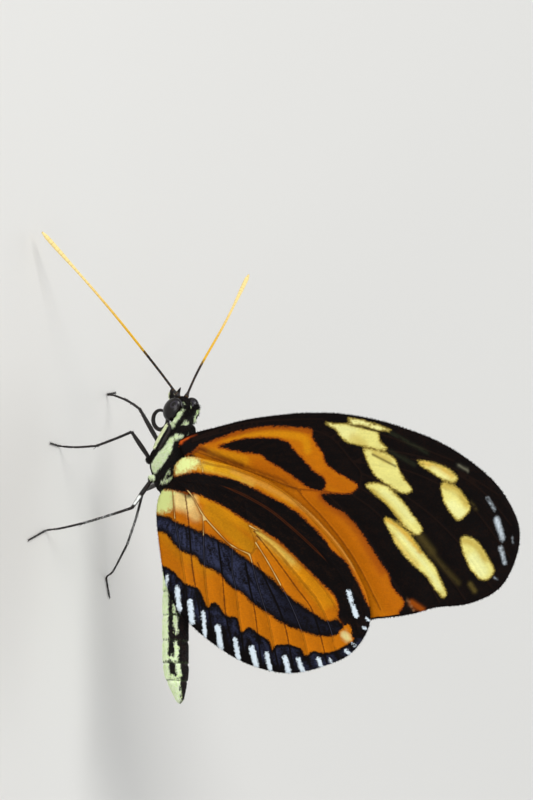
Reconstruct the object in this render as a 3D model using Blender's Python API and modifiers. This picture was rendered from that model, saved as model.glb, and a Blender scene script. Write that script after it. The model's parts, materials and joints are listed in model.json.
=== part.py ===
"""Tiger-striped longwing butterfly at rest with closed wings, a life-size still model.

Frame: metres, +Z up, floor at z = 0. The head points along -X, the left side faces -Y.
Sizes below are in millimetres about the body's mid-plane and become metres in place().
"""
import math

import bmesh
import bpy
from mathutils import Euler, Matrix, Vector
from mathutils.geometry import delaunay_2d_cdt, intersect_point_line

MM = 0.001
NAME = "tiger_longwing_butterfly"

# Where the middle of the box's underside lies in the body's own millimetres.
BOX_MIDDLE = Vector((1.328, 1.192, 0.0))

# Fit and material sizes.
GAP = 0.3
MEMBRANE = 0.50
VEIN_THICKNESS = 0.74
VEIN_HALF_WIDTH = 0.45
LEG_RADIUS = {"femur": 0.32, "tibia": 0.27, "tarsus": 0.25}
LEG_TIP_RADIUS = {"femur": 0.26, "tibia": 0.25, "tarsus": 0.20}
COXA_RADIUS = 0.50
ANTENNA_RADIUS = 0.25
# Radii of a feeler's club, by the count of points back from its end.
CLUB_RADII = {4: 0.27, 3: 0.29, 2: 0.30, 1: 0.20}

# Wing sheets: distance of each sheet's middle from the body's mid-plane.
FOREWING_REST = 0.55
FOREWING_SPLAY = 1.95
FOREWING_HINGE = (-1.6, 14.6)
FOREWING_SPREAD = 10.0
HINDWING_REST = 1.60
HINDWING_SPLAY = 0.80
HINDWING_SHOULDER = (0.0, 17.0)
HINDWING_SPREAD = 24.5
ABDOMEN_CLEARANCE = 0.80
FOLD_LOW, FOLD_HIGH = 15.0, 19.5

# The right wings lie a little lower than the left ones, by this much beyond the reach.
RIGHT_SHIFT = {"forewing": (-0.12, -0.49), "hindwing": (-0.34, -1.40)}
WING_ROOT = (0.0, 15.0)
SHIFT_REACH = 20.0

# Triangle sizes of the wing sheets.
RIM_SPACING = 2.0
VEIN_SPACING = 2.2
GRID_PITCH = 2.7
ROW_RISE = 0.866
GRID_CLEARANCE = 1.1
FLANK_CLEARANCE = 0.3
FLANK_SHARE = 0.7
CDT_EPSILON = 0.02

# Wing outlines and veins as (x, z) in millimetres, read along the sheet.
FOREWING_OUTLINE = [
    (-2.3, 14.9), (-3.2, 16.0), (-4.0, 18.3), (-5.1, 22.8), (-5.7, 27.7), (-5.9, 31.2),
    (-5.7, 35.7), (-4.6, 41.4), (-2.1, 48.4), (1.8, 54.3), (5.7, 57.3), (8.8, 58.1),
    (12.2, 57.3), (14.8, 55.5), (16.4, 52.0), (16.9, 48.0), (17.7, 45.1), (18.3, 41.0),
    (18.3, 37.5), (14.6, 30.7), (7.0, 21.4), (2.6, 17.3), (-0.6, 15.3)]
FOREWING_VEINS = {
    "costa": [(-2.7, 16.3), (-3.9, 19.1), (-4.7, 22.7), (-5.1, 27.7), (-5.2, 32.5)],
    "radius": [(-2.3, 16.3), (-3.2, 18.4), (-4.1, 22.1), (-4.4, 25.9), (-4.2, 29.8),
               (-3.0, 33.7), (-0.1, 36.7)],
    "radial_1": [(-3.0, 33.7), (-4.4, 36.9), (-3.9, 41.5)],
    "radial_2": [(-2.4, 34.4), (-3.7, 38.2), (-2.2, 44.0), (-0.3, 49.5)],
    "radial_3": [(-0.1, 36.7), (-1.4, 40.2), (-0.6, 46.0), (1.3, 51.1), (3.6, 55.2)],
    "radial_4": [(-0.5, 44.1), (0.8, 48.9), (3.4, 53.4), (7.2, 57.0)],
    "radial_5": [(-0.1, 36.7), (0.4, 41.6), (2.0, 46.7), (4.9, 51.8), (10.9, 57.0)],
    "discal": [(-0.1, 36.7), (1.2, 37.8), (2.9, 37.6), (3.8, 36.8)],
    "medial_1": [(1.2, 37.8), (3.2, 42.3), (6.1, 46.9), (9.9, 51.1), (14.4, 54.8)],
    "medial_2": [(2.9, 37.6), (5.3, 41.8), (8.6, 45.5), (12.8, 49.1), (15.9, 51.6)],
    "medial_3": [(3.8, 36.8), (5.8, 39.9), (8.9, 43.0), (12.3, 45.9), (16.3, 48.4)],
    "cubitus": [(-1.3, 16.3), (-0.4, 18.8), (0.5, 21.3), (1.4, 24.2), (2.2, 26.7),
                (3.1, 29.5), (3.4, 33.0), (3.8, 36.8)],
    "cubital_1": [(3.4, 33.0), (5.4, 35.5), (8.2, 38.3), (11.5, 40.8), (17.0, 44.4)],
    "cubital_2": [(3.1, 29.5), (4.8, 31.2), (6.7, 33.3), (9.5, 35.9), (12.6, 38.2),
                  (17.3, 41.0)],
    "anal": [(-0.6, 16.5), (2.4, 19.2), (6.6, 23.6), (11.1, 28.6), (15.1, 33.8), (17.6, 38.9)],
}
HINDWING_OUTLINE = [
    (1.9, 14.5), (2.9, 13.9), (3.7, 13.0), (4.9, 12.4), (7.2, 12.3), (11.3, 13.0), (14.6, 13.8),
    (17.7, 15.4), (20.4, 18.1), (22.3, 20.9), (23.9, 24.1), (24.9, 27.8), (25.0, 31.0),
    (24.2, 34.3), (22.7, 37.7), (20.0, 39.8), (17.4, 40.1), (14.4, 39.0), (10.4, 36.3),
    (6.4, 32.3), (2.9, 27.5), (0.9, 22.6), (-0.2, 18.0), (-0.3, 16.0), (0.5, 14.8), (1.2, 14.55)]
HINDWING_VEINS = {
    "subcosta": [(1.2, 14.9), (0.8, 17.7), (1.6, 22.7), (4.2, 28.5), (8.7, 33.8),
                 (13.4, 37.4), (16.9, 39.3)],
    "radius": [(1.6, 14.6), (2.1, 16.9), (3.1, 21.1), (5.3, 26.1), (8.6, 31.1), (12.6, 34.8),
               (16.3, 37.4), (20.3, 38.9)],
    "medial_1": [(3.9, 23.5), (7.0, 27.5), (11.1, 31.6), (16.4, 35.2), (22.3, 37.0)],
    "discal": [(3.9, 23.5), (7.5, 24.1), (9.5, 25.3), (11.0, 24.4), (10.1, 22.0)],
    "medial_2": [(7.5, 24.1), (9.4, 26.4), (13.0, 29.7), (17.3, 32.7), (23.2, 34.8)],
    "medial_3": [(9.5, 25.3), (12.3, 27.1), (15.5, 29.1), (20.0, 31.3), (24.2, 32.4)],
    "cubitus": [(1.7, 14.4), (3.9, 16.7), (6.3, 18.2), (8.0, 20.0), (10.1, 22.0)],
    "cubital_1": [(10.1, 22.0), (13.6, 24.5), (17.1, 26.7), (24.3, 28.8)],
    "cubital_2": [(8.0, 20.0), (11.2, 21.6), (15.4, 23.3), (20.1, 24.6), (23.3, 24.6)],
    "anal_2": [(6.3, 18.2), (9.5, 18.4), (13.7, 18.8), (17.8, 19.3), (20.9, 19.6)],
    "anal_3": [(2.0, 14.1), (7.0, 14.8), (10.8, 15.4), (12.8, 15.9), (19.2, 17.5)],
}

# Body stations: x, middle height, half width, half height.
THORAX_STATIONS = [
    (-5.0, 14.1, 0.80, 0.80), (-4.7, 14.1, 1.15, 1.20), (-4.0, 14.0, 1.55, 1.60),
    (-3.0, 13.8, 1.90, 1.95), (-2.0, 13.4, 2.20, 2.45), (-0.9, 13.0, 2.40, 2.90),
    (0.3, 12.9, 2.35, 2.90), (1.4, 12.9, 2.05, 2.60), (2.4, 12.9, 1.70, 2.30),
    (3.2, 12.95, 1.40, 1.95), (3.5, 13.0, 1.10, 1.50)]
ABDOMEN_JOINTS = [4.1, 6.6, 9.4, 12.4, 15.5, 18.4, 21.4, 24.0, 26.1]
ABDOMEN_TIP = 28.8
ABDOMEN_PROFILE = [(3.8, 13.5, 1.00), (5.5, 13.6, 1.35), (10.0, 13.8, 1.55), (16.0, 14.1, 1.65),
                   (20.5, 14.3, 1.67), (23.4, 14.45, 1.66), (25.0, 14.6, 1.60),
                   (26.1, 14.75, 1.42), (27.4, 15.0, 1.00), (28.4, 15.2, 0.62),
                   (28.8, 15.25, 0.38)]
JOINT_PINCH = 0.93
# Swelling of each ring: share of the way to the next joint, and share of the radius.
RING_SWELL = [(0.35, 1.0), (0.8, 1.02)]

# Points round each ring, and segments and rows of each ball.
THORAX_SIDES, ABDOMEN_SIDES, HEAD_SIDES = 20, 16, 20
EYE_MESH, COXA_MESH = (20, 12), (12, 8)
SHARP_ANGLE = 50.0
WELD = 0.000005

# The head: its middle, and its small turn to the left (roll, pitch and yaw in degrees).
HEAD_MIDDLE = Vector((-6.45, -0.25, 13.8))
HEAD_TURN = (16.5, -7.0, 4.0)
HEAD_STATIONS = [(-1.02, 1.05, 1.05), (-0.7, 1.40, 1.30), (-0.2, 1.58, 1.42), (0.5, 1.55, 1.40),
                 (1.05, 1.20, 1.15), (1.40, 0.75, 0.80)]
EYE_MIDDLE = (-0.08, 1.50, 0.03)
EYE_RADII = (1.58, 0.90, 1.20)
EYE_LEAN = 50.0
SOCKET_GAP = 0.32

# Legs as points from the middle of the coxa down to the foot's tip. The last two lie on the floor.
FOOT_HEIGHT = 0.13
KNEE_CLEARANCE = 0.38
ANKLE_CLEARANCE = 0.1
LEGS = {
    "mid_leg_left": [(-0.2, -1.3, 10.5), (-3.3, -3.4, 8.9), (-1.5, -4.4, 4.8), (-1.3, -4.7, 2.2),
                     (-1.4, -5.1, FOOT_HEIGHT), (-1.5, -7.4, FOOT_HEIGHT)],
    "hind_leg_left": [(2.1, -1.2, 10.9), (5.9, -4.0, 9.7), (8.0, -6.6, 4.6), (8.7, -7.2, 1.9),
                      (9.1, -7.9, FOOT_HEIGHT), (10.5, -12.0, FOOT_HEIGHT)],
    "mid_leg_right": [(-1.9, 1.3, 10.7), (-6.8, 4.0, 6.3), (-8.2, 6.3, 3.2), (-8.8, 7.1, 1.3),
                      (-9.0, 7.5, FOOT_HEIGHT), (-9.4, 9.6, FOOT_HEIGHT)],
    "hind_leg_right": [(2.3, 1.2, 11.0), (3.0, 6.2, 6.2), (9.4, 8.2, 3.4), (12.6, 9.2, 1.2),
                       (13.6, 9.5, FOOT_HEIGHT), (15.8, 10.6, FOOT_HEIGHT)],
}
FORELEGS = {
    "foreleg_left": [(-4.5, -2.15, 13.15), (-3.0, -2.55, 12.5), (-1.4, -2.95, 11.85)],
    "foreleg_right": [(-4.5, 2.1, 13.2), (-3.0, 2.55, 12.5), (-1.4, 2.95, 11.85)],
}
FORELEG_RADIUS, FORELEG_TIP_RADIUS = 0.36, 0.2
LEG_SPACING = 0.9

# Antennae beyond their sockets, body millimetres.
ANTENNAE = {
    "antenna_left": [(-11.5, -3.5, 11.5), (-18.2, -9.3, 7.4), (-26.0, -15.2, 1.6)],
    "antenna_right": [(-11.9, 4.2, 14.0), (-18.4, 11.2, 14.0), (-25.0, 17.6, 13.9)],
}
ANTENNA_ROOT = (1.89, 0.66, 0.45)
ANTENNA_SPACING = 2.4

# Mouth parts in the head's own forward, left and up.
PALP_ROOT, PALP_TIP = (1.62, 0.44, -1.22), (2.60, 0.75, -0.45)
PALP_RADIUS = 0.28
# Share of a palp's length, and of its radius there.
PALP_SHAPE = [(0.0, 0.8), (0.35, 1.0), (0.7, 0.8), (1.0, 0.25)]
PROBOSCIS_MOUTH = (0.55, 0.0, -1.83)
PROBOSCIS_RING = (-0.94, 0.0, -3.42)
PROBOSCIS_RING_RADIUS = 1.17
PROBOSCIS_RADIUS, PROBOSCIS_TIP_RADIUS = 0.25, 0.22
COIL_POINTS, COIL_START, COIL_STEP, COIL_DRIFT = 14, 55.0, 24.0, 0.02

# Colours (linear RGB), roughness.
FINISHES = {
    "head": ((0.020, 0.016, 0.014), 0.60),
    "eye": ((0.030, 0.018, 0.012), 0.15),
    "antenna": ((0.620, 0.330, 0.040), 0.50),
    "palp": ((0.012, 0.010, 0.010), 0.60),
    "proboscis": ((0.010, 0.008, 0.008), 0.35),
    "thorax": ((0.030, 0.026, 0.020), 0.70),
    "abdomen": ((0.045, 0.036, 0.024), 0.65),
    "foreleg": ((0.560, 0.620, 0.330), 0.70),
    "leg": ((0.010, 0.009, 0.009), 0.45),
    "forewing": ((0.560, 0.200, 0.006), 0.60),
    "hindwing": ((0.560, 0.200, 0.006), 0.60),
}


def clear_scene():
    for old in list(bpy.data.objects):
        bpy.data.objects.remove(old, do_unlink=True)


def collection(name):
    made = bpy.data.collections.new(name)
    bpy.context.scene.collection.children.link(made)
    return made


def place(point):
    """Body millimetres to metres in the part's frame."""
    return (Vector(point) - BOX_MIDDLE) * MM


def finish(name, kind):
    colour, roughness = FINISHES[kind]
    material = bpy.data.materials.new(name)
    material.use_nodes = True
    shader = material.node_tree.nodes["Principled BSDF"]
    shader.inputs["Base Color"].default_value = (*colour, 1.0)
    shader.inputs["Roughness"].default_value = roughness
    shader.inputs["Metallic"].default_value = 0.0
    return material


def smooth_step(t):
    t = min(max(t, 0.0), 1.0)
    return t * t * (3.0 - 2.0 * t)


def spline(points, spacing, closed=False):
    """Catmull-Rom points through the given ones, about one spacing apart."""
    points = [Vector(p) for p in points]
    count = len(points)
    if closed:
        ring = [points[-1]] + points + points[:2]
    else:
        ring = [2 * points[0] - points[1]] + points + [2 * points[-1] - points[-2]]
    out = []
    for i in range(count if closed else count - 1):
        a, b, c, d = ring[i:i + 4]
        steps = max(1, round((c - b).length / spacing))
        for k in range(steps):
            t = k / steps
            out.append(0.5 * ((2 * b) + (c - a) * t + (2 * a - 5 * b + 4 * c - d) * t * t
                              + (3 * b - a - 3 * c + d) * t ** 3))
    if not closed:
        out.append(points[-1])
    return out


def object_from(name, kind, mesh, home):
    part = bpy.data.objects.new(name, mesh)
    home.objects.link(part)
    mesh.materials.append(finish(name, kind))
    mesh.shade_smooth()
    mesh.set_sharp_from_angle(angle=math.radians(SHARP_ANGLE))
    return part


def loft_mesh(name, rings):
    """Closed mesh through rings of the same number of points, capped at both ends."""
    mesh = bpy.data.meshes.new(name)
    bm = bmesh.new()
    rows = [[bm.verts.new(p) for p in ring] for ring in rings]
    for first, second in zip(rows, rows[1:]):
        for i in range(len(first)):
            j = (i + 1) % len(first)
            bm.faces.new((first[i], first[j], second[j], second[i]))
    bm.faces.new(rows[0][::-1])
    bm.faces.new(rows[-1])
    bmesh.ops.recalc_face_normals(bm, faces=bm.faces)
    bm.to_mesh(mesh)
    bm.free()
    return mesh


def ellipse_ring(middle, side, up, half_side, half_up, count):
    ring = []
    for i in range(count):
        turn = 2 * math.pi * i / count
        ring.append(middle + side * (half_side * math.cos(turn)) + up * (half_up * math.sin(turn)))
    return ring


def tube_mesh(name, points, radii, sides=8):
    """A wire through body-millimetre points, its radius changing evenly from end to end."""
    curve = bpy.data.curves.new(name, "CURVE")
    curve.dimensions = "3D"
    curve.bevel_depth = MM
    curve.bevel_resolution = (sides - 4) // 2
    curve.use_fill_caps = True
    wire = curve.splines.new("POLY")
    wire.points.add(len(points) - 1)
    for i, point in enumerate(points):
        wire.points[i].co = (*place(point), 1.0)
        wire.points[i].radius = radii[i]
    holder = bpy.data.objects.new(name + "_wire", curve)
    bpy.context.scene.collection.objects.link(holder)
    bpy.context.view_layer.update()
    evaluated = holder.evaluated_get(bpy.context.evaluated_depsgraph_get())
    mesh = bpy.data.meshes.new_from_object(evaluated)
    bpy.data.objects.remove(holder, do_unlink=True)
    bpy.data.curves.remove(curve)
    bm = bmesh.new()
    bm.from_mesh(mesh)
    bmesh.ops.remove_doubles(bm, verts=bm.verts, dist=WELD)
    bmesh.ops.recalc_face_normals(bm, faces=bm.faces)
    bm.to_mesh(mesh)
    bm.free()
    mesh.materials.clear()
    mesh.name = name
    return mesh


def even_radii(count, first, last):
    return [first + (last - first) * i / (count - 1) for i in range(count)]


def forewing_sheet(x, z):
    off = (x - FOREWING_HINGE[0]) ** 2 + (z - FOREWING_HINGE[1]) ** 2
    return FOREWING_REST + FOREWING_SPLAY * math.exp(-off / FOREWING_SPREAD)


def hindwing_sheet(x, z):
    fold = smooth_step((FOLD_HIGH - z) / (FOLD_HIGH - FOLD_LOW))
    off = (x - HINDWING_SHOULDER[0]) ** 2 + (z - HINDWING_SHOULDER[1]) ** 2
    splay = HINDWING_SPLAY * math.exp(-off / HINDWING_SPREAD)
    return HINDWING_REST + ABDOMEN_CLEARANCE * fold + splay


def wing_point(kind, sheet, side, spot):
    """A flat wing point on its sheet, the right wing's shift growing from the root."""
    x, z = spot
    shift_x, shift_z = RIGHT_SHIFT[kind] if side > 0 else (0.0, 0.0)
    share = smooth_step(math.dist(spot, WING_ROOT) / SHIFT_REACH)
    return place((x + shift_x * share, side * sheet(x, z), z + shift_z * share))


def inside(point, outline):
    """Even-odd test of a flat point against a closed outline."""
    x, z = point
    hit = False
    for (ax, az), (bx, bz) in zip(outline, outline[1:] + outline[:1]):
        if (az > z) != (bz > z) and x < ax + (z - az) * (bx - ax) / (bz - az):
            hit = not hit
    return hit


def distance_to(point, line):
    nearest = math.inf
    for a, b in zip(line, line[1:]):
        foot, t = intersect_point_line(point, a, b)
        t = min(max(t, 0.0), 1.0)
        nearest = min(nearest, (Vector(point) - (a + (b - a) * t)).length)
    return nearest


def wing_layout(outline, veins):
    """Flat points, fixed edges and the set of vein points that share one triangulation."""
    rim = spline(outline, RIM_SPACING, closed=True)
    lines = [spline(vein, VEIN_SPACING) for vein in veins.values()]
    border = rim + rim[:1]
    points = list(rim)
    edges = [(i, (i + 1) % len(rim)) for i in range(len(rim))]
    ridge = set()
    for line in lines:
        start = len(points)
        for point in line:
            points.append(point)
            ridge.add(len(points) - 1)
        edges += [(start + i, start + i + 1) for i in range(len(line) - 1)]
    for number, line in enumerate(lines):
        others = [other for i, other in enumerate(lines) if i != number]
        for a, b in zip(line, line[1:]):
            along = (b - a).normalized()
            across = Vector((-along.y, along.x)) * VEIN_HALF_WIDTH
            for flank in ((a + b) / 2 + across, (a + b) / 2 - across):
                clear = all(distance_to(flank, other) > FLANK_SHARE * VEIN_HALF_WIDTH
                            for other in others)
                if clear and inside(flank, rim) and distance_to(flank, border) > FLANK_CLEARANCE:
                    points.append(flank)
    low = Vector((min(p.x for p in rim), min(p.y for p in rim)))
    high = Vector((max(p.x for p in rim), max(p.y for p in rim)))
    row_pitch = GRID_PITCH * ROW_RISE
    rows = int((high.y - low.y) / row_pitch) + 1
    columns = int((high.x - low.x) / GRID_PITCH) + 1
    for row in range(rows):
        for column in range(columns):
            spot = low + Vector(((column + 0.5 * (row % 2)) * GRID_PITCH, row * row_pitch))
            if not inside(spot, rim) or distance_to(spot, border) < GRID_CLEARANCE:
                continue
            if all(distance_to(spot, line) > GRID_CLEARANCE for line in lines):
                points.append(spot)
    return rim, points, edges, ridge


def wing(name, kind, outline, veins, sheet, side, home):
    """A curved sheet with raised veins, both faces split into the same triangles."""
    rim, points, edges, ridge = wing_layout(outline, veins)
    flat, _, faces, origins, _, _ = delaunay_2d_cdt(points, edges, [], 0, CDT_EPSILON, True)
    mesh = bpy.data.meshes.new(name)
    bm = bmesh.new()
    verts = [bm.verts.new(wing_point(kind, sheet, side, p)) for p in flat]
    for face in faces:
        middle = sum((flat[i] for i in face), Vector((0.0, 0.0))) / 3.0
        if inside(middle, rim):
            bm.faces.new([verts[i] for i in face])
    loose = [v for v in bm.verts if not v.link_faces]
    bmesh.ops.delete(bm, geom=loose, context="VERTS")
    kept = [i for i, v in enumerate(verts) if v.is_valid]
    bmesh.ops.recalc_face_normals(bm, faces=bm.faces)
    bm.to_mesh(mesh)
    bm.free()
    part = object_from(name, kind, mesh, home)
    raised = part.vertex_groups.new(name="veins")
    crests = [number for number, i in enumerate(kept)
              if not origins[i] or ridge.intersection(origins[i])]
    raised.add(crests, 1.0, "REPLACE")
    thicken = part.modifiers.new("membrane", "SOLIDIFY")
    thicken.thickness = VEIN_THICKNESS * MM
    thicken.offset = 0.0
    thicken.vertex_group = "veins"
    thicken.thickness_vertex_group = MEMBRANE / VEIN_THICKNESS
    return part


def ball_mesh(name, middle, radius):
    mesh = bpy.data.meshes.new(name)
    bm = bmesh.new()
    bmesh.ops.create_uvsphere(bm, u_segments=COXA_MESH[0], v_segments=COXA_MESH[1],
                              radius=radius * MM)
    bmesh.ops.translate(bm, verts=bm.verts, vec=place(middle))
    bm.to_mesh(mesh)
    bm.free()
    return mesh


def joined(part, meshes):
    """Fuses closed meshes to a part and leaves its largest closed surface."""
    extras = bpy.data.collections.new(part.name + "_pieces")
    bpy.context.scene.collection.children.link(extras)
    for mesh in meshes:
        extras.objects.link(bpy.data.objects.new(mesh.name, mesh))
    union = part.modifiers.new("union", "BOOLEAN")
    union.operation = "UNION"
    union.operand_type = "COLLECTION"
    union.collection = extras
    bpy.context.view_layer.update()
    evaluated = part.evaluated_get(bpy.context.evaluated_depsgraph_get())
    mesh = bpy.data.meshes.new_from_object(evaluated)
    part.modifiers.remove(union)
    for extra in list(extras.objects):
        bpy.data.objects.remove(extra, do_unlink=True)
    bpy.data.collections.remove(extras)
    part.data = keep_largest(mesh)


def keep_largest(mesh):
    bm = bmesh.new()
    bm.from_mesh(mesh)
    unseen = set(bm.verts)
    shells = []
    while unseen:
        shell, front = set(), [unseen.pop()]
        while front:
            vert = front.pop()
            shell.add(vert)
            for edge in vert.link_edges:
                other = edge.other_vert(vert)
                if other in unseen:
                    unseen.remove(other)
                    front.append(other)
        shells.append(shell)
    largest = max(shells, key=len)
    spare = [vert for vert in bm.verts if vert not in largest]
    bmesh.ops.delete(bm, geom=spare, context="VERTS")
    bm.to_mesh(mesh)
    bm.free()
    return mesh


def thorax(home):
    side, up = Vector((0.0, 1.0, 0.0)), Vector((0.0, 0.0, 1.0))
    rings = []
    for x, height, half_side, half_up in THORAX_STATIONS:
        middle = Vector((x, 0.0, height))
        ring = ellipse_ring(middle, side, up, half_side, half_up, THORAX_SIDES)
        rings.append([place(p) for p in ring])
    trunk = object_from("thorax", "thorax", loft_mesh("thorax", rings), home)
    joined(trunk, [ball_mesh(name + "_coxa", points[0], COXA_RADIUS)
                   for name, points in LEGS.items()])


def profile_at(x):
    """Middle height and radius of the abdomen at one station."""
    for (ax, az, ar), (bx, bz, br) in zip(ABDOMEN_PROFILE, ABDOMEN_PROFILE[1:]):
        if x <= bx:
            t = smooth_step((x - ax) / (bx - ax))
            return az + (bz - az) * t, ar + (br - ar) * t
    return ABDOMEN_PROFILE[-1][1:]


def abdomen(home):
    side, up = Vector((0.0, 1.0, 0.0)), Vector((0.0, 0.0, 1.0))
    stations = [(ABDOMEN_PROFILE[0][0], 1.0)]
    for joint, after in zip(ABDOMEN_JOINTS, ABDOMEN_JOINTS[1:] + [ABDOMEN_TIP]):
        stations.append((joint, JOINT_PINCH))
        stations += [(joint + share * (after - joint), swell) for share, swell in RING_SWELL]
    stations.append((ABDOMEN_TIP, 1.0))
    rings = []
    for x, swell in stations:
        height, radius = profile_at(x)
        middle = Vector((x, 0.0, height))
        ring = ellipse_ring(middle, side, up, radius * swell, radius * swell, ABDOMEN_SIDES)
        rings.append([place(p) for p in ring])
    return object_from("abdomen", "abdomen", loft_mesh("abdomen", rings), home)


def head_axes():
    roll, pitch, yaw = (math.radians(a) for a in HEAD_TURN)
    turn = Euler((roll, pitch, yaw), "XYZ").to_matrix()
    return turn @ Vector((-1, 0, 0)), turn @ Vector((0, -1, 0)), turn @ Vector((0, 0, 1))


def head_point(forward, left, up):
    ahead, leftward, upward = head_axes()
    return HEAD_MIDDLE + ahead * forward + leftward * left + upward * up


def eye_solid(name, side, radii):
    """An ellipsoid by the head's side, its long radius leaning up from the forward direction."""
    mesh = bpy.data.meshes.new(name)
    bm = bmesh.new()
    bmesh.ops.create_uvsphere(bm, u_segments=EYE_MESH[0], v_segments=EYE_MESH[1], radius=1.0)
    ahead, leftward, upward = head_axes()
    lean = math.radians(EYE_LEAN)
    along = ahead * math.cos(lean) + upward * math.sin(lean)
    across = upward * math.cos(lean) - ahead * math.sin(lean)
    turn = Matrix((along * radii[0], leftward * radii[1], across * radii[2])).transposed()
    forward, left, up = EYE_MIDDLE
    middle = head_point(forward, side * left, up)
    for vert in bm.verts:
        vert.co = place(middle + turn @ vert.co)
    bm.normal_update()
    bm.to_mesh(mesh)
    bm.free()
    return mesh


def head(home, cutters):
    ahead, leftward, upward = head_axes()
    rings = []
    for forward, half_side, half_up in HEAD_STATIONS:
        middle = head_point(forward, 0, 0)
        ring = ellipse_ring(middle, leftward, upward, half_side, half_up, HEAD_SIDES)
        rings.append([place(p) for p in ring])
    skull = object_from("head", "head", loft_mesh("head", rings), home)
    for name, side in (("eye_left", 1), ("eye_right", -1)):
        object_from(name, "eye", eye_solid(name, side, EYE_RADII), home)
        socket_radii = [r + SOCKET_GAP for r in EYE_RADII]
        cutter = bpy.data.objects.new(name + "_socket",
                                      eye_solid(name + "_socket", side, socket_radii))
        cutters.objects.link(cutter)
        cutter.hide_render = True
        cutter.display_type = "WIRE"
        cut = skull.modifiers.new(name + "_socket", "BOOLEAN")
        cut.operation = "DIFFERENCE"
        cut.object = cutter
    return skull


def mouth_parts(home):
    for name, side in (("palp_left", 1), ("palp_right", -1)):
        root = head_point(PALP_ROOT[0], side * PALP_ROOT[1], PALP_ROOT[2])
        tip = head_point(PALP_TIP[0], side * PALP_TIP[1], PALP_TIP[2])
        points = [root.lerp(tip, share) for share, _ in PALP_SHAPE]
        radii = [PALP_RADIUS * swell for _, swell in PALP_SHAPE]
        object_from(name, "palp", tube_mesh(name, points, radii), home)
    points = [head_point(*PROBOSCIS_MOUTH)]
    for step in range(COIL_POINTS):
        turn = math.radians(COIL_START + step * COIL_STEP)
        forward = PROBOSCIS_RING[0] + PROBOSCIS_RING_RADIUS * math.sin(turn)
        up = PROBOSCIS_RING[2] + PROBOSCIS_RING_RADIUS * math.cos(turn)
        points.append(head_point(forward, -COIL_DRIFT * step, up))
    radii = even_radii(len(points), PROBOSCIS_RADIUS, PROBOSCIS_TIP_RADIUS)
    object_from("proboscis", "proboscis", tube_mesh("proboscis", points, radii), home)


def antennae(home):
    for (name, points), side in zip(ANTENNAE.items(), (1, -1)):
        root = head_point(ANTENNA_ROOT[0], side * ANTENNA_ROOT[1], ANTENNA_ROOT[2])
        path = spline([root] + points, ANTENNA_SPACING)
        radii = [ANTENNA_RADIUS] * len(path)
        for back, radius in CLUB_RADII.items():
            radii[-back] = radius
        object_from(name, "antenna", tube_mesh(name, path, radii), home)


def flatten_on_floor(mesh):
    for vert in mesh.vertices:
        vert.co.z = max(vert.co.z, 0.0)


def leg_piece(name, kind, points, home):
    radii = even_radii(len(points), LEG_RADIUS[kind], LEG_TIP_RADIUS[kind])
    mesh = tube_mesh(name, points, radii)
    flatten_on_floor(mesh)
    return object_from(name, "leg", mesh, home)


def shortened(a, b, start, end):
    """The stretch from a to b, drawn back by the given lengths at its ends."""
    a, b = Vector(a), Vector(b)
    along = (b - a).normalized()
    return a + along * start, b - along * end


def walking_legs(home):
    for name, points in LEGS.items():
        hip, knee, ankle, toe_top, touch, tip = points
        first, last = shortened(hip, knee, COXA_RADIUS + GAP, GAP / 2)
        leg_piece(name + "_femur", "femur", [first, first.lerp(last, 0.5), last], home)
        first, last = shortened(knee, ankle, GAP / 2 + KNEE_CLEARANCE, GAP / 2)
        leg_piece(name + "_tibia", "tibia", [first, first.lerp(last, 0.5), last], home)
        start, _ = shortened(ankle, toe_top, GAP / 2 + ANKLE_CLEARANCE, 0.0)
        path = spline([start, toe_top, touch, tip], LEG_SPACING)
        leg_piece(name + "_tarsus", "tarsus", path, home)


def forelegs(home):
    for name, points in FORELEGS.items():
        path = spline(points, LEG_SPACING)
        radii = [FORELEG_RADIUS] * len(path)
        radii[-1] = FORELEG_TIP_RADIUS
        object_from(name, "foreleg", tube_mesh(name, path, radii), home)


def build():
    clear_scene()
    home = collection(NAME)
    cutters = collection("cutters")
    thorax(home)
    abdomen(home)
    head(home, cutters)
    mouth_parts(home)
    antennae(home)
    for side, word in ((-1, "left"), (1, "right")):
        wing("forewing_" + word, "forewing", FOREWING_OUTLINE, FOREWING_VEINS,
             forewing_sheet, side, home)
        wing("hindwing_" + word, "hindwing", HINDWING_OUTLINE, HINDWING_VEINS,
             hindwing_sheet, side, home)
    forelegs(home)
    walking_legs(home)


build()
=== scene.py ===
"""Looks of a tiger-striped longwing butterfly that stands with its wings closed.

All sizes are body millimetres, X from head to tail, Y to the animal's right and Z up, until
place() turns them into the frame's metres.
"""
import json
import math

import bmesh
import bpy
import numpy as np
from bpy.props import FloatProperty, FloatVectorProperty, IntProperty, PointerProperty
from mathutils import Euler, Matrix, Vector
from mathutils.geometry import delaunay_2d_cdt

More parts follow.
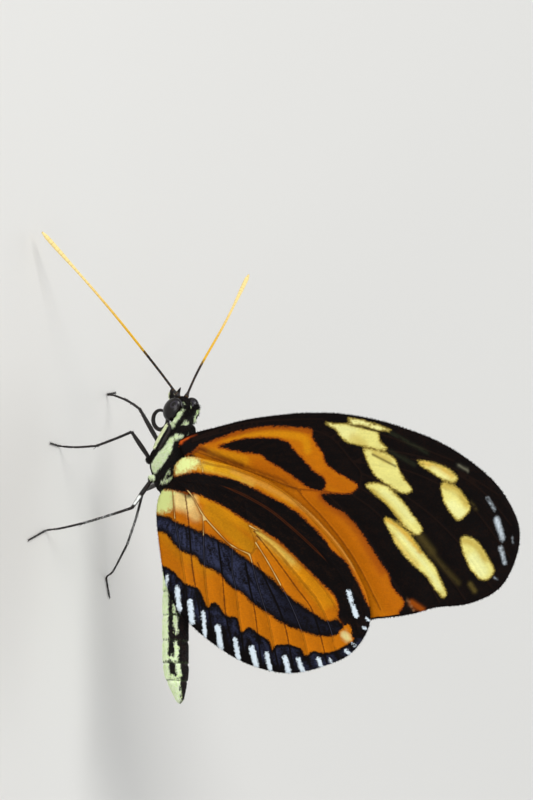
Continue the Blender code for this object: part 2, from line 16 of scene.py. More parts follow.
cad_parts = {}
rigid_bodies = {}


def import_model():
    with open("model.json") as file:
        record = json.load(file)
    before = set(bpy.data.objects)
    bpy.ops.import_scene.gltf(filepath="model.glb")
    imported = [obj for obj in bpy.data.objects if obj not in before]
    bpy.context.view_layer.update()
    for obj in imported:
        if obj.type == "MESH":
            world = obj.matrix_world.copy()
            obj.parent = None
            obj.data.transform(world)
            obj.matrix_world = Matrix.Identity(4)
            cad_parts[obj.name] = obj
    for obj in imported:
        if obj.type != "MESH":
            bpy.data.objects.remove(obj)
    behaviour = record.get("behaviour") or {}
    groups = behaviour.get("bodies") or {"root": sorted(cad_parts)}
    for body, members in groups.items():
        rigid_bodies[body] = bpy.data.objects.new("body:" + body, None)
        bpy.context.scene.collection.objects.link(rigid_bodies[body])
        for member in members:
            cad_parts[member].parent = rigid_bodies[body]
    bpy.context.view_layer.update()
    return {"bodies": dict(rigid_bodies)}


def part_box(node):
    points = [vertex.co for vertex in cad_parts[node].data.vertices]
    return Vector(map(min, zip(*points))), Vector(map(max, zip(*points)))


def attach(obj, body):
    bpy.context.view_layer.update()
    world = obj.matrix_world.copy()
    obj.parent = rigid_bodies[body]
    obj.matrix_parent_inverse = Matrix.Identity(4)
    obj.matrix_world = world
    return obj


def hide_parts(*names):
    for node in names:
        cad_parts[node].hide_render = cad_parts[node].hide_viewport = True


bl_info = {
    "name": "Tiger Longwing Butterfly",
    "version": (1, 0, 0),
    "blender": (4, 5, 0),
    "location": "View3D > Sidebar > Longwing",
    "description": "Scaled wings, haired body, legs and feelers of a longwing butterfly at rest",
    "category": "Object",
}

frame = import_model()
MM = 0.001
ROOT = next(iter(frame["bodies"]))

# The thorax starts 5 mm ahead of the body's own zero and lies evenly about its mid-plane.
THORAX_LOW, THORAX_HIGH = (Vector(corner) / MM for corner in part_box("thorax"))
THORAX_FRONT = -5.0
BODY_ZERO = Vector((THORAX_LOW.x - THORAX_FRONT, (THORAX_LOW.y + THORAX_HIGH.y) / 2, 0.0))

# Wing sheets, as the solids have them.
FOREWING_REST, FOREWING_SPLAY, FOREWING_HINGE = 0.55, 1.95, (-1.6, 14.6)
HINDWING_REST, HINDWING_SPLAY, HINDWING_SHOULDER = 1.60, 0.80, (0.0, 17.0)
FOREWING_SPREAD, HINDWING_SPREAD = 10.0, 24.5
ABDOMEN_CLEARANCE, FOLD_LOW, FOLD_HIGH = 0.80, 15.0, 19.5

# Spacing of the points along touches and outlines, along marks, and along veins.
TOUCH_STEP, MARK_STEP, VEIN_STEP = 0.3, 0.25, 0.4
# Wing mesh, in shares of its pitch: height of a row, scatter, and how far points keep from the
# rim, points from lines, and lines from the rim. Points nearer than the weld, in mm, become one.
ROW_SHARE, SCATTER, RIM_GAP, LINE_GAP, LINE_INSET, WELD = 0.866, 0.12, 0.55, 0.5, 0.3, 0.02
# Each face of a wing has one half of the bake map, and each hair or tuft one small spot.
WING_PATCH, PATCH_CORNERS, SPOT = (0.48, 0.98), ((0.01, 0.01), (0.51, 0.01)), 0.003
FRINGE_HALF, FRINGE_INSET, FRINGE_SCATTER, FRINGE_LENGTHS = 0.028, 0.03, 0.25, (0.55, 1.1)
# The membrane is this much of its thickness at the rim, and full this far in.
RIM_THINNESS, THINNING_SPAN = 0.35, 0.8
# Relief of the wings, in mm: how far in from the rim it is full, how far from a vein the forewing
# is sunk, and how blunt the hindwing's ridges are.
RELIEF_EDGE, SUNK_FROM_VEIN, RIDGE_BLUNTNESS = 1.5, 1.6, 0.4
# The rust line fades over these lengths at its root and its end. The painted bluish sheen of the
# bands loses this share above a height, over a span.
RUST_FADES, BLUE_LOSS, BLUE_HEIGHT, BLUE_SPAN = (1.2, 2.5), 0.75, 22, 9
BAR_CUT_HALF = 0.12
# Streaks that run with the veins: turns and lengths of the fan.
FAN_TURN, FAN_REACH = 26.0, 0.42
# How far the scales and the streaks blur the edges of a wing's marks, in millimetres.
CELL_FUZZ, STREAK_FUZZ = 0.20, 0.42

# The right wings lie a little lower than the left ones, by this much beyond the reach.
RIGHT_SHIFT = {"forewing": (-0.12, -0.49), "hindwing": (-0.34, -1.40)}
SHIFT_ROOT, SHIFT_REACH = (0.0, 15.0), 20.0
HEAD_MIDDLE = Vector((-6.45, -0.25, 13.8))
HEAD_TURN = (16.5, -7.0, 4.0)
EYE_MIDDLE, EYE_RADII, EYE_LEAN = (-0.08, 1.50, 0.03), (1.58, 0.90, 1.20), 50.0

# Forewing, as (along the body, height) on its sheet.
FOREWING_OUTLINE = [
    (-2.3, 14.9), (-3.2, 16.0), (-4.0, 18.3), (-5.1, 22.8), (-5.7, 27.7), (-5.9, 31.2),
    (-5.7, 35.7), (-4.6, 41.4), (-2.1, 48.4), (1.8, 54.3), (5.7, 57.3), (8.8, 58.1),
    (12.2, 57.3), (14.8, 55.5), (16.4, 52.0), (16.9, 48.0), (17.7, 45.1), (18.3, 41.0),
    (18.3, 37.5), (14.6, 30.7), (7.0, 21.4), (2.6, 17.3), (-0.6, 15.3)]
FOREWING_VEINS = {
    "costa": [(-2.7, 16.3), (-3.9, 19.1), (-4.7, 22.7), (-5.1, 27.7), (-5.2, 32.5)],
    "radius": [(-2.3, 16.3), (-3.2, 18.4), (-4.1, 22.1), (-4.4, 25.9), (-4.2, 29.8),
               (-3.0, 33.7), (-0.1, 36.7)],
    "radial_1": [(-3.0, 33.7), (-4.4, 36.9), (-3.9, 41.5)],
    "radial_2": [(-2.4, 34.4), (-3.7, 38.2), (-2.2, 44.0), (-0.3, 49.5)],
    "radial_3": [(-0.1, 36.7), (-1.4, 40.2), (-0.6, 46.0), (1.3, 51.1), (3.6, 55.2)],
    "radial_4": [(-0.5, 44.1), (0.8, 48.9), (3.4, 53.4), (7.2, 57.0)],
    "radial_5": [(-0.1, 36.7), (0.4, 41.6), (2.0, 46.7), (4.9, 51.8), (10.9, 57.0)],
    "discal": [(-0.1, 36.7), (1.2, 37.8), (2.9, 37.6), (3.8, 36.8)],
    "medial_1": [(1.2, 37.8), (3.2, 42.3), (6.1, 46.9), (9.9, 51.1), (14.4, 54.8)],
    "medial_2": [(2.9, 37.6), (5.3, 41.8), (8.6, 45.5), (12.8, 49.1), (15.9, 51.6)],
    "medial_3": [(3.8, 36.8), (5.8, 39.9), (8.9, 43.0), (12.3, 45.9), (16.3, 48.4)],
    "cubitus": [(-1.3, 16.3), (-0.4, 18.8), (0.5, 21.3), (1.4, 24.2), (2.2, 26.7),
                (3.1, 29.5), (3.4, 33.0), (3.8, 36.8)],
    "cubital_1": [(3.4, 33.0), (5.4, 35.5), (8.2, 38.3), (11.5, 40.8), (17.0, 44.4)],
    "cubital_2": [(3.1, 29.5), (4.8, 31.2), (6.7, 33.3), (9.5, 35.9), (12.6, 38.2),
                  (17.3, 41.0)],
    "anal": [(-0.6, 16.5), (2.4, 19.2), (6.6, 23.6), (11.1, 28.6), (15.1, 33.8), (17.6, 38.9)],
}
FOREWING_DARK = [
    [(-1.9, 17.1), (-2.9, 19.3), (-3.7, 21.6), (-4.1, 23.9), (-4.3, 26.4), (-4.2, 29.7),
     (-4.0, 31.2), (-3.3, 31.3), (-2.1, 32.0), (-1.1, 32.9), (0.1, 33.3), (1.1, 34.8),
     (2.1, 36.6), (2.7, 37.5), (3.6, 36.7), (3.7, 34.6), (3.8, 32.7), (4.9, 33.7),
     (5.7, 35.5), (6.9, 36.9), (8.4, 38.3), (11.0, 40.2), (12.9, 41.7), (14.6, 42.4),
     (16.4, 44.0), (18.6, 44.6), (20.0, 60.0), (-8.0, 60.0), (-8.0, 14.0), (-0.3, 14.0),
     (-0.5, 15.3), (-1.0, 16.3), (-1.5, 16.8)],
    [(-1.8, 19.3), (-2.3, 20.5), (-2.8, 22.8), (-2.9, 25.7), (-2.5, 28.1), (-1.5, 29.0),
     (-0.2, 30.5), (1.0, 31.7), (1.7, 32.8), (2.4, 33.3), (3.3, 32.9), (3.1, 31.4),
     (2.5, 30.4), (1.4, 28.6), (0.6, 27.3), (0.0, 26.0), (-0.9, 24.7), (-1.2, 22.3),
     (-1.6, 20.5)],
]
FOREWING_YELLOW = [
    [(-5.3, 35.9), (-5.0, 37.7), (-4.5, 39.8), (-3.8, 41.5), (-3.8, 40.4), (-4.3, 38.2),
     (-4.7, 36.4)],
    [(-4.72, 33.0), (-4.65, 33.9), (-4.5, 36.7), (-4.0, 38.3), (-3.5, 39.8), (-2.6, 40.1),
     (-1.7, 41.1), (-1.5, 40.2), (-1.9, 38.4), (-2.3, 36.5), (-2.9, 35.2), (-3.9, 34.4)],
    [(-1.7, 38.1), (-1.3, 40.2), (-0.6, 41.9), (0.2, 42.4), (1.0, 42.7), (2.2, 43.7),
     (3.2, 44.4), (3.6, 43.7), (3.2, 42.5), (2.4, 41.0), (1.2, 39.4), (-0.3, 38.5)],
    [(2.6, 38.5), (2.4, 40.1), (3.1, 41.6), (4.4, 43.2), (5.9, 44.4), (7.7, 45.9),
     (8.4, 45.3), (8.1, 44.6), (6.7, 42.9), (5.0, 41.4), (3.7, 39.7)],
    [(6.5, 41.0), (6.7, 42.0), (8.1, 44.0), (10.2, 45.9), (12.3, 47.7), (14.1, 48.7),
     (15.2, 49.3), (15.8, 48.9), (15.2, 48.2), (13.5, 46.8), (11.8, 44.8), (9.9, 42.9),
     (8.2, 41.8)],
    [(-0.2, 44.8), (-0.2, 46.1), (0.3, 48.0), (1.0, 49.4), (1.8, 50.1), (2.3, 49.6),
     (2.0, 48.5), (1.0, 46.7)],
    [(2.3, 48.1), (2.6, 49.7), (3.6, 50.9), (5.1, 51.8), (5.9, 51.5), (6.7, 50.5),
     (6.0, 49.6), (4.2, 48.4)],
    [(8.9, 50.8), (8.7, 52.0), (9.5, 53.3), (11.1, 54.4), (12.4, 55.1), (13.4, 54.5),
     (13.6, 53.5), (12.9, 52.7), (11.4, 51.6)],
]
# Round-ended strokes: start, end and half width.
FOREWING_PALE = [
    ((4.0, 53.9), (5.4, 54.9), 0.12), ((6.5, 55.2), (8.7, 56.0), 0.32),
    ((9.8, 55.8), (11.6, 56.4), 0.20), ((8.5, 57.2), (9.3, 57.4), 0.0),
    ((13.3, 55.1), (13.5, 55.6), 0.0)]
# Soft touches of colour: line, half width, softness, colour and strength.
FOREWING_TOUCHES = [
    ([(-2.4, 17.9), (-3.2, 20.6), (-3.75, 24.0), (-3.95, 27.0), (-3.7, 31.2)], 0.16, 0.34, "rust",
     0.85),
    ([(-1.0, 15.1), (-1.25, 15.9), (-1.55, 16.5)], 0.36, 0.34, "dark", 1.0),
    ([(-0.5, 15.2), (-0.75, 16.1)], 0.34, 0.30, "dark", 0.95),
    ([(-1.60, 16.5), (-1.44, 17.1), (-1.2, 17.8)], 0.04, 0.22, "dark", 0.7),
    ([(-2.2, 20.2), (-3.1, 23.6), (-3.35, 27.0), (-2.9, 30.2), (-1.4, 30.9)], 0.20, 0.5, "gold",
     0.85),
    ([(-1.1, 18.4), (-0.8, 20.6), (-0.2, 22.8)], 0.25, 0.5, "gold", 0.8),
    ([(0.4, 24.6), (1.6, 27.6), (2.7, 30.6), (3.2, 32.6)], 0.35, 0.9, "orange_deep", 0.75),
    ([(1.4, 33.2), (2.6, 35.2), (3.0, 36.4)], 0.35, 0.7, "orange_deep", 0.55),
    ([(4.2, 31.0), (7.6, 34.6), (11.0, 38.2), (14.6, 41.2), (17.6, 43.0)], 0.7, 1.0,
     "orange_deep", 0.5),
    ([(-1.5, 17.2), (-0.5, 19.6), (0.4, 22.2)], 0.14, 0.45, "brown", 0.75),
    ([(0.4, 22.2), (1.4, 25.2), (2.2, 27.7), (3.24, 29.44)], 0.05, 0.35, "brown", 0.6),
    ([(4.0, 32.9), (5.4, 34.7), (6.6, 36.4), (8.2, 38.0), (10.3, 39.5), (12.6, 41.1)], 0.25, 0.80,
     "rust", 0.75),
    ([(3.9, 33.4), (5.2, 35.3), (6.4, 37.1), (8.0, 38.8), (10.3, 40.4)], 0.22, 0.55, "dark", 0.9)]
# Thin lines that divide the yellow spots.
FOREWING_PARTINGS = {
    "parting_1": [(-4.5, 36.2), (-4.1, 38.2), (-3.6, 40.2)],
    "parting_2": [(-1.0, 39.2), (-0.4, 40.5), (0.4, 42.2)]}
# Touches over the yellow spots.
YELLOW_TOUCHES = [
    ([(-5.0, 36.4), (-4.1, 40.8)], 0.30, 0.3, "straw_white", 0.9),
    ([(-4.3, 33.5), (-3.6, 36.2)], 0.40, 0.9, "straw_white", 0.5),
    ([(-3.0, 36.6), (-2.2, 38.0)], 0.20, 0.7, "yellow_deep", 0.5),
    ([(-1.2, 39.4), (-0.2, 41.4)], 0.10, 0.5, "yellow_deep", 0.7),
    ([(3.4, 39.2), (5.0, 41.2), (6.8, 42.9)], 0.15, 0.5, "yellow_deep", 1.0),
    ([(3.2, 40.6), (4.6, 42.4), (6.8, 44.6)], 0.05, 0.5, "straw_white", 0.6),
    ([(6.5, 41.0), (7.0, 42.4), (8.5, 44.2), (10.3, 45.8)], 0.22, 0.42, "amber", 1.0),
    ([(8.4, 42.0), (10.2, 43.4), (12.0, 45.4)], 0.12, 0.4, "amber", 0.55),
    ([(8.4, 42.9), (10.4, 45.0), (12.4, 46.8), (14.6, 48.4)], 0.05, 0.35, "straw_white", 0.8),
    ([(-0.1, 45.2), (0.4, 47.6), (1.4, 49.4)], 0.15, 0.5, "amber", 0.75),
    ([(0.6, 46.9), (1.8, 48.8)], 0.10, 0.4, "straw_white", 0.5),
    ([(2.5, 48.4), (3.2, 50.2), (4.8, 51.4)], 0.15, 0.6, "yellow_deep", 0.85),
    ([(4.9, 49.5), (5.8, 50.6)], 0.3, 0.7, "straw_white", 0.8),
    ([(9.0, 51.2), (9.6, 52.8), (11.2, 54.0)], 0.15, 0.5, "yellow_deep", 0.8),
    ([(11.2, 52.4), (12.6, 53.6)], 0.3, 0.8, "straw_white", 0.9)]
FOREWING_SHADES = [
    ([(-2.02, 14.8), (-2.38, 15.28), (-2.62, 15.62)], 0.17, 0.16, "ember", 1.0),
    ([(-2.78, 15.74), (-3.2, 16.5)], 0.04, 0.28, "ember", 0.42),
    ([(8.6, 45.6), (10.4, 47.2)], 0.10, 1.0, "olive", 0.55),
    ([(10.6, 47.2), (12.6, 49.2), (14.0, 50.7)], 0.0, 0.8, "olive", 0.4),
    ([(14.1, 52.2), (14.9, 52.8)], 0.05, 0.6, "olive", 0.9),
    # Painted greenish sheen streaks along the veins near the leading edge.
    ([(-4.0, 40.6), (-2.8, 43.0), (-1.2, 46.2)], 0.0, 0.5, "green", 0.22),
    ([(-1.4, 41.4), (0.2, 44.6)], 0.0, 0.6, "green", 0.18),
    ([(0.2, 50.1), (0.8, 51.3)], 0.05, 0.35, "grey", 0.7),
    ([(4.5, 51.9), (5.4, 52.6)], 0.02, 0.4, "olive", 0.4),
    ([(16.4, 44.9), (17.3, 46.4)], 0.15, 0.6, "rust", 0.95),
    ([(15.9, 44.2), (17.4, 45.2)], 0.0, 0.22, "mauve", 0.6)]

HINDWING_OUTLINE = [
    (1.9, 14.5), (2.9, 13.9), (3.7, 13.0), (4.9, 12.4), (7.2, 12.3), (11.3, 13.0), (14.6, 13.8),
    (17.7, 15.4), (20.4, 18.1), (22.3, 20.9), (23.9, 24.1), (24.9, 27.8), (25.0, 31.0),
    (24.2, 34.3), (22.7, 37.7), (20.0, 39.8), (17.4, 40.1), (14.4, 39.0), (10.4, 36.3),
    (6.4, 32.3), (2.9, 27.5), (0.9, 22.6), (-0.2, 18.0), (-0.3, 16.0), (0.5, 14.8), (1.2, 14.55)]
HINDWING_VEINS = {
    "subcosta": [(0.25, 18.2), (0.5, 19.2), (1.2, 22.7), (3.4, 28.1), (7.1, 32.6),
                 (11.2, 36.5), (15.0, 38.7), (18.4, 39.7)],
    "radius": [(2.4, 14.9), (2.6, 16.9), (3.8, 21.8), (6.0, 26.3), (8.4, 30.4), (10.5, 33.4),
               (12.5, 35.5), (15.0, 37.1), (20.3, 38.9)],
    "medial_1": [(7.7, 24.2), (9.8, 28.3), (12.3, 31.3), (14.8, 34.0), (17.3, 35.9),
                 (19.5, 37.0), (22.1, 38.0)],
    "discal": [(4.9, 23.4), (7.7, 24.2), (9.7, 25.1), (11.1, 24.4), (10.1, 22.0)],
    "medial_2": [(8.3, 24.5), (10.2, 27.3), (12.2, 29.4), (14.5, 31.6), (16.6, 33.5),
                 (19.7, 35.2), (23.5, 36.4)],
    "medial_3": [(9.7, 25.1), (12.0, 26.8), (13.8, 28.0), (16.3, 29.6), (18.5, 30.8),
                 (21.0, 31.9), (24.2, 32.8)],
    "cubitus": [(2.2, 14.5), (4.0, 16.7), (6.5, 18.2), (8.4, 20.0), (10.1, 22.0), (11.1, 24.4)],
    "cubital_1": [(11.1, 24.4), (14.4, 25.5), (16.8, 26.4), (18.9, 27.2), (24.3, 28.7)],
    "cubital_2": [(10.1, 22.1), (13.0, 22.2), (15.0, 22.7), (17.6, 23.2), (22.9, 24.2)],
    "anal_2": [(6.5, 18.2), (10.3, 18.4), (12.7, 18.6), (15.8, 19.0), (20.8, 20.0)],
    "anal_3": [(2.6, 14.3), (7.1, 14.8), (9.3, 15.3), (11.7, 15.8), (14.1, 16.3), (18.2, 16.9)],
}
HINDWING_FOLDS = {
    "fold_1": [(4.0, 16.0), (7.8, 16.5), (12.2, 17.0), (15.8, 17.7), (19.6, 18.5)],
    "fold_2": [(9.6, 20.1), (11.2, 20.4), (13.9, 20.9), (18.1, 21.5), (22.1, 22.6)],
    "fold_3": [(12.1, 23.8), (15.0, 24.5), (17.9, 25.3), (23.9, 26.4)],
    "fold_4": [(12.1, 25.4), (14.8, 26.9), (17.5, 28.4), (20.2, 29.5), (24.6, 30.6)],
    "fold_5": [(8.4, 24.8), (11.7, 27.8), (14.9, 30.5), (17.4, 32.6), (20.6, 33.9),
               (23.8, 34.9)],
}
HINDWING_STRIPE = [
    (3.3, 12.0), (1.6, 12.4), (0.5, 13.2), (1.6, 13.9), (2.0, 14.9), (1.7, 16.1), (1.5, 17.2),
    (1.6, 18.4), (1.8, 19.8), (2.3, 22.2),
    (3.9, 26.0), (5.3, 29.0), (6.5, 30.9), (8.9, 33.7), (10.5, 35.0), (11.8, 36.8),
    (14.1, 38.3), (16.3, 39.5), (18.6, 40.6), (21.5, 39.5), (20.3, 37.7), (18.9, 36.5),
    (18.0, 36.1), (17.3, 36.2), (16.3, 35.8), (15.4, 35.1), (14.1, 33.5), (12.5, 31.7),
    (10.2, 29.0), (8.4, 26.2), (7.1, 23.7), (5.6, 21.1), (4.5, 18.6), (4.0, 17.3),
    (3.9, 16.1), (3.7, 14.8), (3.5, 13.3)]
HINDWING_BAND = [
    (6.6, 11.2), (6.8, 13.7), (7.4, 14.9), (8.0, 16.7), (8.8, 18.8), (9.7, 20.8), (10.5, 22.2),
    (11.7, 24.1), (12.8, 25.6), (14.3, 27.8), (16.0, 29.8), (16.9, 31.2), (17.9, 32.9),
    (18.8, 34.6), (18.6, 36.1), (20.1, 37.2), (20.6, 35.3), (20.5, 33.0), (19.9, 31.0),
    (19.3, 29.1), (18.0, 26.9), (17.1, 25.2), (15.8, 23.7), (14.9, 22.0), (13.3, 20.2),
    (12.6, 18.5), (11.4, 17.2), (10.8, 15.6), (9.9, 14.6), (8.9, 13.7), (8.1, 11.3)]
HINDWING_MARGIN = [
    (12.7, 12.0), (12.8, 13.8), (13.5, 15.1), (14.6, 16.2), (15.1, 17.4), (15.5, 18.2),
    (17.6, 19.2), (16.9, 19.7), (17.1, 20.5), (18.4, 21.6), (18.7, 23.1), (20.4, 23.8),
    (19.7, 24.6), (20.5, 25.9), (21.3, 27.4), (22.6, 27.9), (21.8, 28.3), (21.7, 29.7),
    (22.1, 31.5), (23.0, 32.2), (22.4, 33.1), (22.6, 34.6), (22.2, 36.1), (21.6, 37.3),
    (21.2, 38.0), (20.4, 38.8), (22.0, 42.0), (28.0, 38.0), (28.0, 20.0), (18.0, 11.0)]
# White strokes that run to the margin: inner end, outer end and half width.
HINDWING_BARS = [
    ((13.9, 14.0), (15.1, 13.9), 0.22), ((15.3, 15.4), (17.9, 15.8), 0.30),
    ((16.9, 17.0), (19.4, 17.4), 0.30), ((18.1, 18.6), (20.9, 19.0), 0.26),
    ((19.8, 20.6), (22.3, 21.1), 0.34), ((21.2, 22.9), (23.7, 23.5), 0.30),
    ((22.2, 25.1), (24.3, 25.8), 0.34), ((22.9, 27.1), (24.8, 27.7), 0.30),
    ((23.3, 29.5), (25.2, 30.1), 0.34), ((23.4, 31.2), (25.0, 31.9), 0.28),
    ((23.3, 33.8), (24.5, 34.3), 0.26), ((23.3, 35.2), (23.7, 35.5), 0.16),
    ((22.3, 37.3), (22.6, 37.7), 0.20), ((21.4, 38.1), (21.7, 38.4), 0.15),
    ((19.5, 39.4), (19.7, 39.7), 0.16), ((18.4, 39.7), (18.7, 40.0), 0.12),
    ((15.3, 37.35), (18.2, 38.45), 0.31)]
HINDWING_BAR_CUT = [(17.3, 37.1), (16.3, 38.7)]
HINDWING_ROOT_CREAM = [
    [(-0.47, 15.74), (-0.35, 16.5), (-0.14, 17.2), (0.2, 17.7), (0.7, 17.4), (0.97, 17.0),
     (1.3, 16.6), (1.40, 16.1), (1.73, 15.6), (1.87, 15.1), (1.55, 14.8), (1.0, 14.75),
     (0.36, 15.0), (-0.1, 15.4)]]
HINDWING_CORNER_CREAM = [
    [(5.8, 11.7), (4.6, 11.4), (3.2, 12.4), (3.1, 13.6), (3.9, 14.6), (5.2, 14.3),
     (6.1, 13.9), (6.3, 12.6)]]
HINDWING_CORNER = [(21.8, 35.4), (20.3, 36.2), (19.3, 37.2), (19.6, 37.8), (20.8, 37.9),
                   (21.5, 37.1)]
HINDWING_RUST = [(2.51, 18.66), (3.15, 21.04), (4.25, 23.75), (5.82, 26.79), (7.61, 29.35),
                 (9.62, 31.91), (11.41, 33.97), (12.75, 35.25)]
HINDWING_TOUCHES = [
    ([(0.4, 17.6), (0.6, 19.4), (0.9, 20.6)], 0.5, 0.8, "gold", 0.9),
    ([(0.7, 18.2), (1.0, 19.8), (1.7, 22.0), (2.6, 24.2)], 0.28, 0.5, "amber", 0.9),
    ([(0.75, 18.7), (1.1, 20.6), (1.8, 22.6)], 0.20, 0.55, "gold_bright", 0.85),
    ([(0.9, 20.0), (1.7, 22.9), (3.3, 26.6), (5.0, 29.6)], 0.25, 0.6, "gold", 0.6),
    # Painted pinkish-tan sheen along the middle of the leading edge's strip.
    ([(1.2, 21.71), (2.42, 24.66), (3.53, 27.18), (5.32, 30.73), (7.56, 33.79), (10.25, 36.37),
      (12.5, 38.0)], 0.08, 0.36, "peach", 0.6),
    ([(4.3, 17.7), (5.5, 19.9), (7.1, 22.6), (8.4, 25.0)], 0.30, 0.45, "gold", 0.95),
    ([(8.4, 25.2), (10.6, 28.1), (12.6, 30.6)], 0.12, 0.65, "straw", 0.85),
    ([(12.6, 30.6), (14.6, 33.0), (16.6, 35.0)], 0.25, 0.7, "gold", 0.7),
    ([(9.8, 26.2), (12.0, 29.0), (14.6, 31.8), (17.2, 34.2)], 0.15, 0.6, "gold", 0.6),
    ([(6.0, 19.0), (7.6, 20.9), (9.2, 22.9), (10.2, 24.3)], 0.45, 0.8, "ochre", 0.9),
    ([(7.6, 12.6), (10.0, 15.4), (12.4, 19.0)], 0.5, 1.6, "ochre", 0.5),
    ([(4.2, 13.0), (4.4, 14.6), (4.6, 15.9)], 0.75, 1.3, "cream_gold", 0.95),
    ([(5.4, 16.6), (6.6, 17.2)], 0.3, 0.9, "cream_gold", 0.55),
    ([(6.3, 14.2), (7.3, 16.6), (8.7, 19.2), (9.9, 21.6)], 0.1, 0.5, "orange_deep", 0.6),
    ([(2.2, 14.1), (3.0, 15.0), (3.9, 16.6)], 0.35, 0.5, "dark", 1.0),
    ([(20.4, 37.0), (20.8, 37.5)], 0.15, 0.5, "straw_white", 0.7),
    ([(1.6, 14.2), (0.6, 14.3), (-0.2, 14.9), (-0.5, 15.5)], 0.22, 0.2, "dark", 1.0)]
HINDWING_PALE_VEINS = [
    [(3.6, 16.2), (4.0, 16.7), (6.5, 18.2), (8.4, 20.0), (10.1, 22.0)],
    [(10.1, 22.0), (11.1, 24.4)],
    [(11.1, 24.4), (12.2, 24.8)],
    [(6.5, 18.2), (7.8, 18.2), (8.9, 18.3)],
    [(4.0, 14.6), (5.6, 14.7), (7.1, 14.8)],
    [(-0.06, 17.59), (0.39, 17.88), (1.03, 18.11), (1.61, 18.25)],
    [(9.7, 25.1), (10.84, 26.0), (12.0, 26.8), (13.09, 27.5), (13.8, 28.0), (14.8, 28.65)],
    [(7.7, 24.2), (8.3, 25.3)],
]
# Lines that run out to the margin, in order from the body outward.
HINDWING_RAYS = ["anal_3", "fold_1", "anal_2", "fold_2", "cubital_2", "fold_3", "cubital_1",
                 "fold_4", "medial_3", "fold_5", "medial_2", "medial_1"]
# Widest cell between two rays of the hindwing, and a rise that counts as no ray, in mm.
WIDEST_CELL, FAR_OFF = 3.0, 9.0
WING_ROOT = (0.5, 15.5)

# Body stations: x, middle height, half width, half height.
THORAX_STATIONS = [
    (-5.0, 14.1, 0.80, 0.80), (-4.7, 14.1, 1.15, 1.20), (-4.0, 14.0, 1.55, 1.60),
    (-3.0, 13.8, 1.90, 1.95), (-2.0, 13.4, 2.20, 2.45), (-0.9, 13.0, 2.40, 2.90),
    (0.3, 12.9, 2.35, 2.90), (1.4, 12.9, 2.05, 2.60), (2.4, 12.9, 1.70, 2.30),
    (3.2, 12.95, 1.40, 1.95), (4.0, 13.2, 1.05, 1.40), (4.8, 13.5, 0.95, 1.10)]
ABDOMEN_JOINTS = [4.1, 6.6, 9.4, 12.4, 15.5, 18.4, 21.4, 24.0, 26.1]
ABDOMEN_PROFILE = [(3.8, 13.5, 1.00), (5.5, 13.6, 1.35), (10.0, 13.8, 1.55), (16.0, 14.1, 1.65),
                   (20.5, 14.3, 1.67), (23.4, 14.45, 1.66), (25.0, 14.6, 1.60),
                   (26.1, 14.75, 1.42), (27.4, 15.0, 1.00), (28.4, 15.2, 0.62),
                   (28.8, 15.25, 0.38)]
HEAD_STATIONS = [(-2.0, 1.15, 1.20), (-1.5, 1.35, 1.30), (-1.0, 1.50, 1.40), (-0.4, 1.50, 1.40),
                 (0.5, 1.45, 1.35), (1.05, 1.12, 1.08), (1.38, 0.66, 0.70)]
# Plate behind each eye, as balls: along, out and across from the eye's middle, and half sizes
# out and across.
CHEEKS = [(1.15, -0.35, 1.22, 0.60, 0.15), (0.45, -0.28, 1.36, 0.85, 0.26),
          (-0.30, -0.28, 1.48, 0.92, 0.38), (-1.0, -0.35, 1.44, 0.85, 0.46)]
CHEEK_HALF_LENGTH = 0.62
FAR_CHEEK_INSET = 0.55
CLASPER = [(26.9, -0.25, 15.45), (27.8, -0.35, 15.75), (28.3, -0.3, 15.9)]
COXA_RADIUS = 0.42
# Where the abdomen's own shape, its rings and its coat start.
ABDOMEN_START, RING_START, COAT_SEAM = 3.8, 3.6, 3.4
RING_DEPTH, RING_WIDTH, RING_SIDES = 0.16, 0.35, 40

LEGS = {
    "mid_leg_left": [(-0.2, -1.3, 10.5), (-3.3, -3.4, 8.9), (-1.5, -4.4, 4.8), (-1.3, -4.7, 2.2),
                     (-1.4, -5.1, 0.13), (-1.5, -7.4, 0.13)],
    "hind_leg_left": [(2.1, -1.2, 10.9), (5.9, -4.0, 9.7), (8.0, -6.6, 4.6), (8.7, -7.2, 1.9),
                      (9.1, -7.9, 0.13), (10.5, -12.0, 0.13)],
    "mid_leg_right": [(-1.9, 1.3, 10.7), (-6.8, 4.0, 6.3), (-8.2, 6.3, 3.2), (-8.8, 7.1, 1.3),
                      (-9.0, 7.5, 0.13), (-9.4, 9.6, 0.13)],
    "hind_leg_right": [(2.3, 1.2, 11.0), (3.0, 6.2, 6.2), (9.4, 8.2, 3.4), (12.6, 9.2, 1.2),
                       (13.6, 9.5, 0.13), (15.8, 10.6, 0.13)],
}
FORELEGS = {"foreleg_left": -1, "foreleg_right": 1}
FORELEG_PATH = [(-4.5, 2.1, 13.2), (-3.0, 2.55, 12.5), (-1.4, 2.95, 11.85)]
FORELEG_THIGH = (0.10, 0.30, 0.42)
# Direction that the white patch of the hind thigh faces, and its span along the thigh.
THIGH_PATCH, THIGH_PATCH_SPAN = (-0.44, -0.78, 0.44), (0.58, 0.90)
THIGH_POINTS, THIGH_SIDES, SHIN_SIDES, FOOT_SIDES, CLAW_SIDES = 40, 20, 14, 12, 7
THIGH_RADIUS, THIGH_SWELL = 0.20, 0.09
SHIN_SHARES, SHIN_RADII = (0, 0.1, 0.9, 1), (0.19, 0.165, 0.15, 0.17)
FOOT_RADII, FOOT_HEIGHT = (0.135, 0.10), 0.13
FOOT_JOINTS = (0.0, 0.42, 0.62, 0.76, 0.87, 0.985)
# Pale speckles from the knee down, and the strength of a speckle beside the full white.
SHIN_SPECKLE, OTHER_SPECKLE, SPECKLE_STRENGTH = (0.0, 0.12, 0.39, 0.42, 0.38, 0.40), 0.3, 0.46
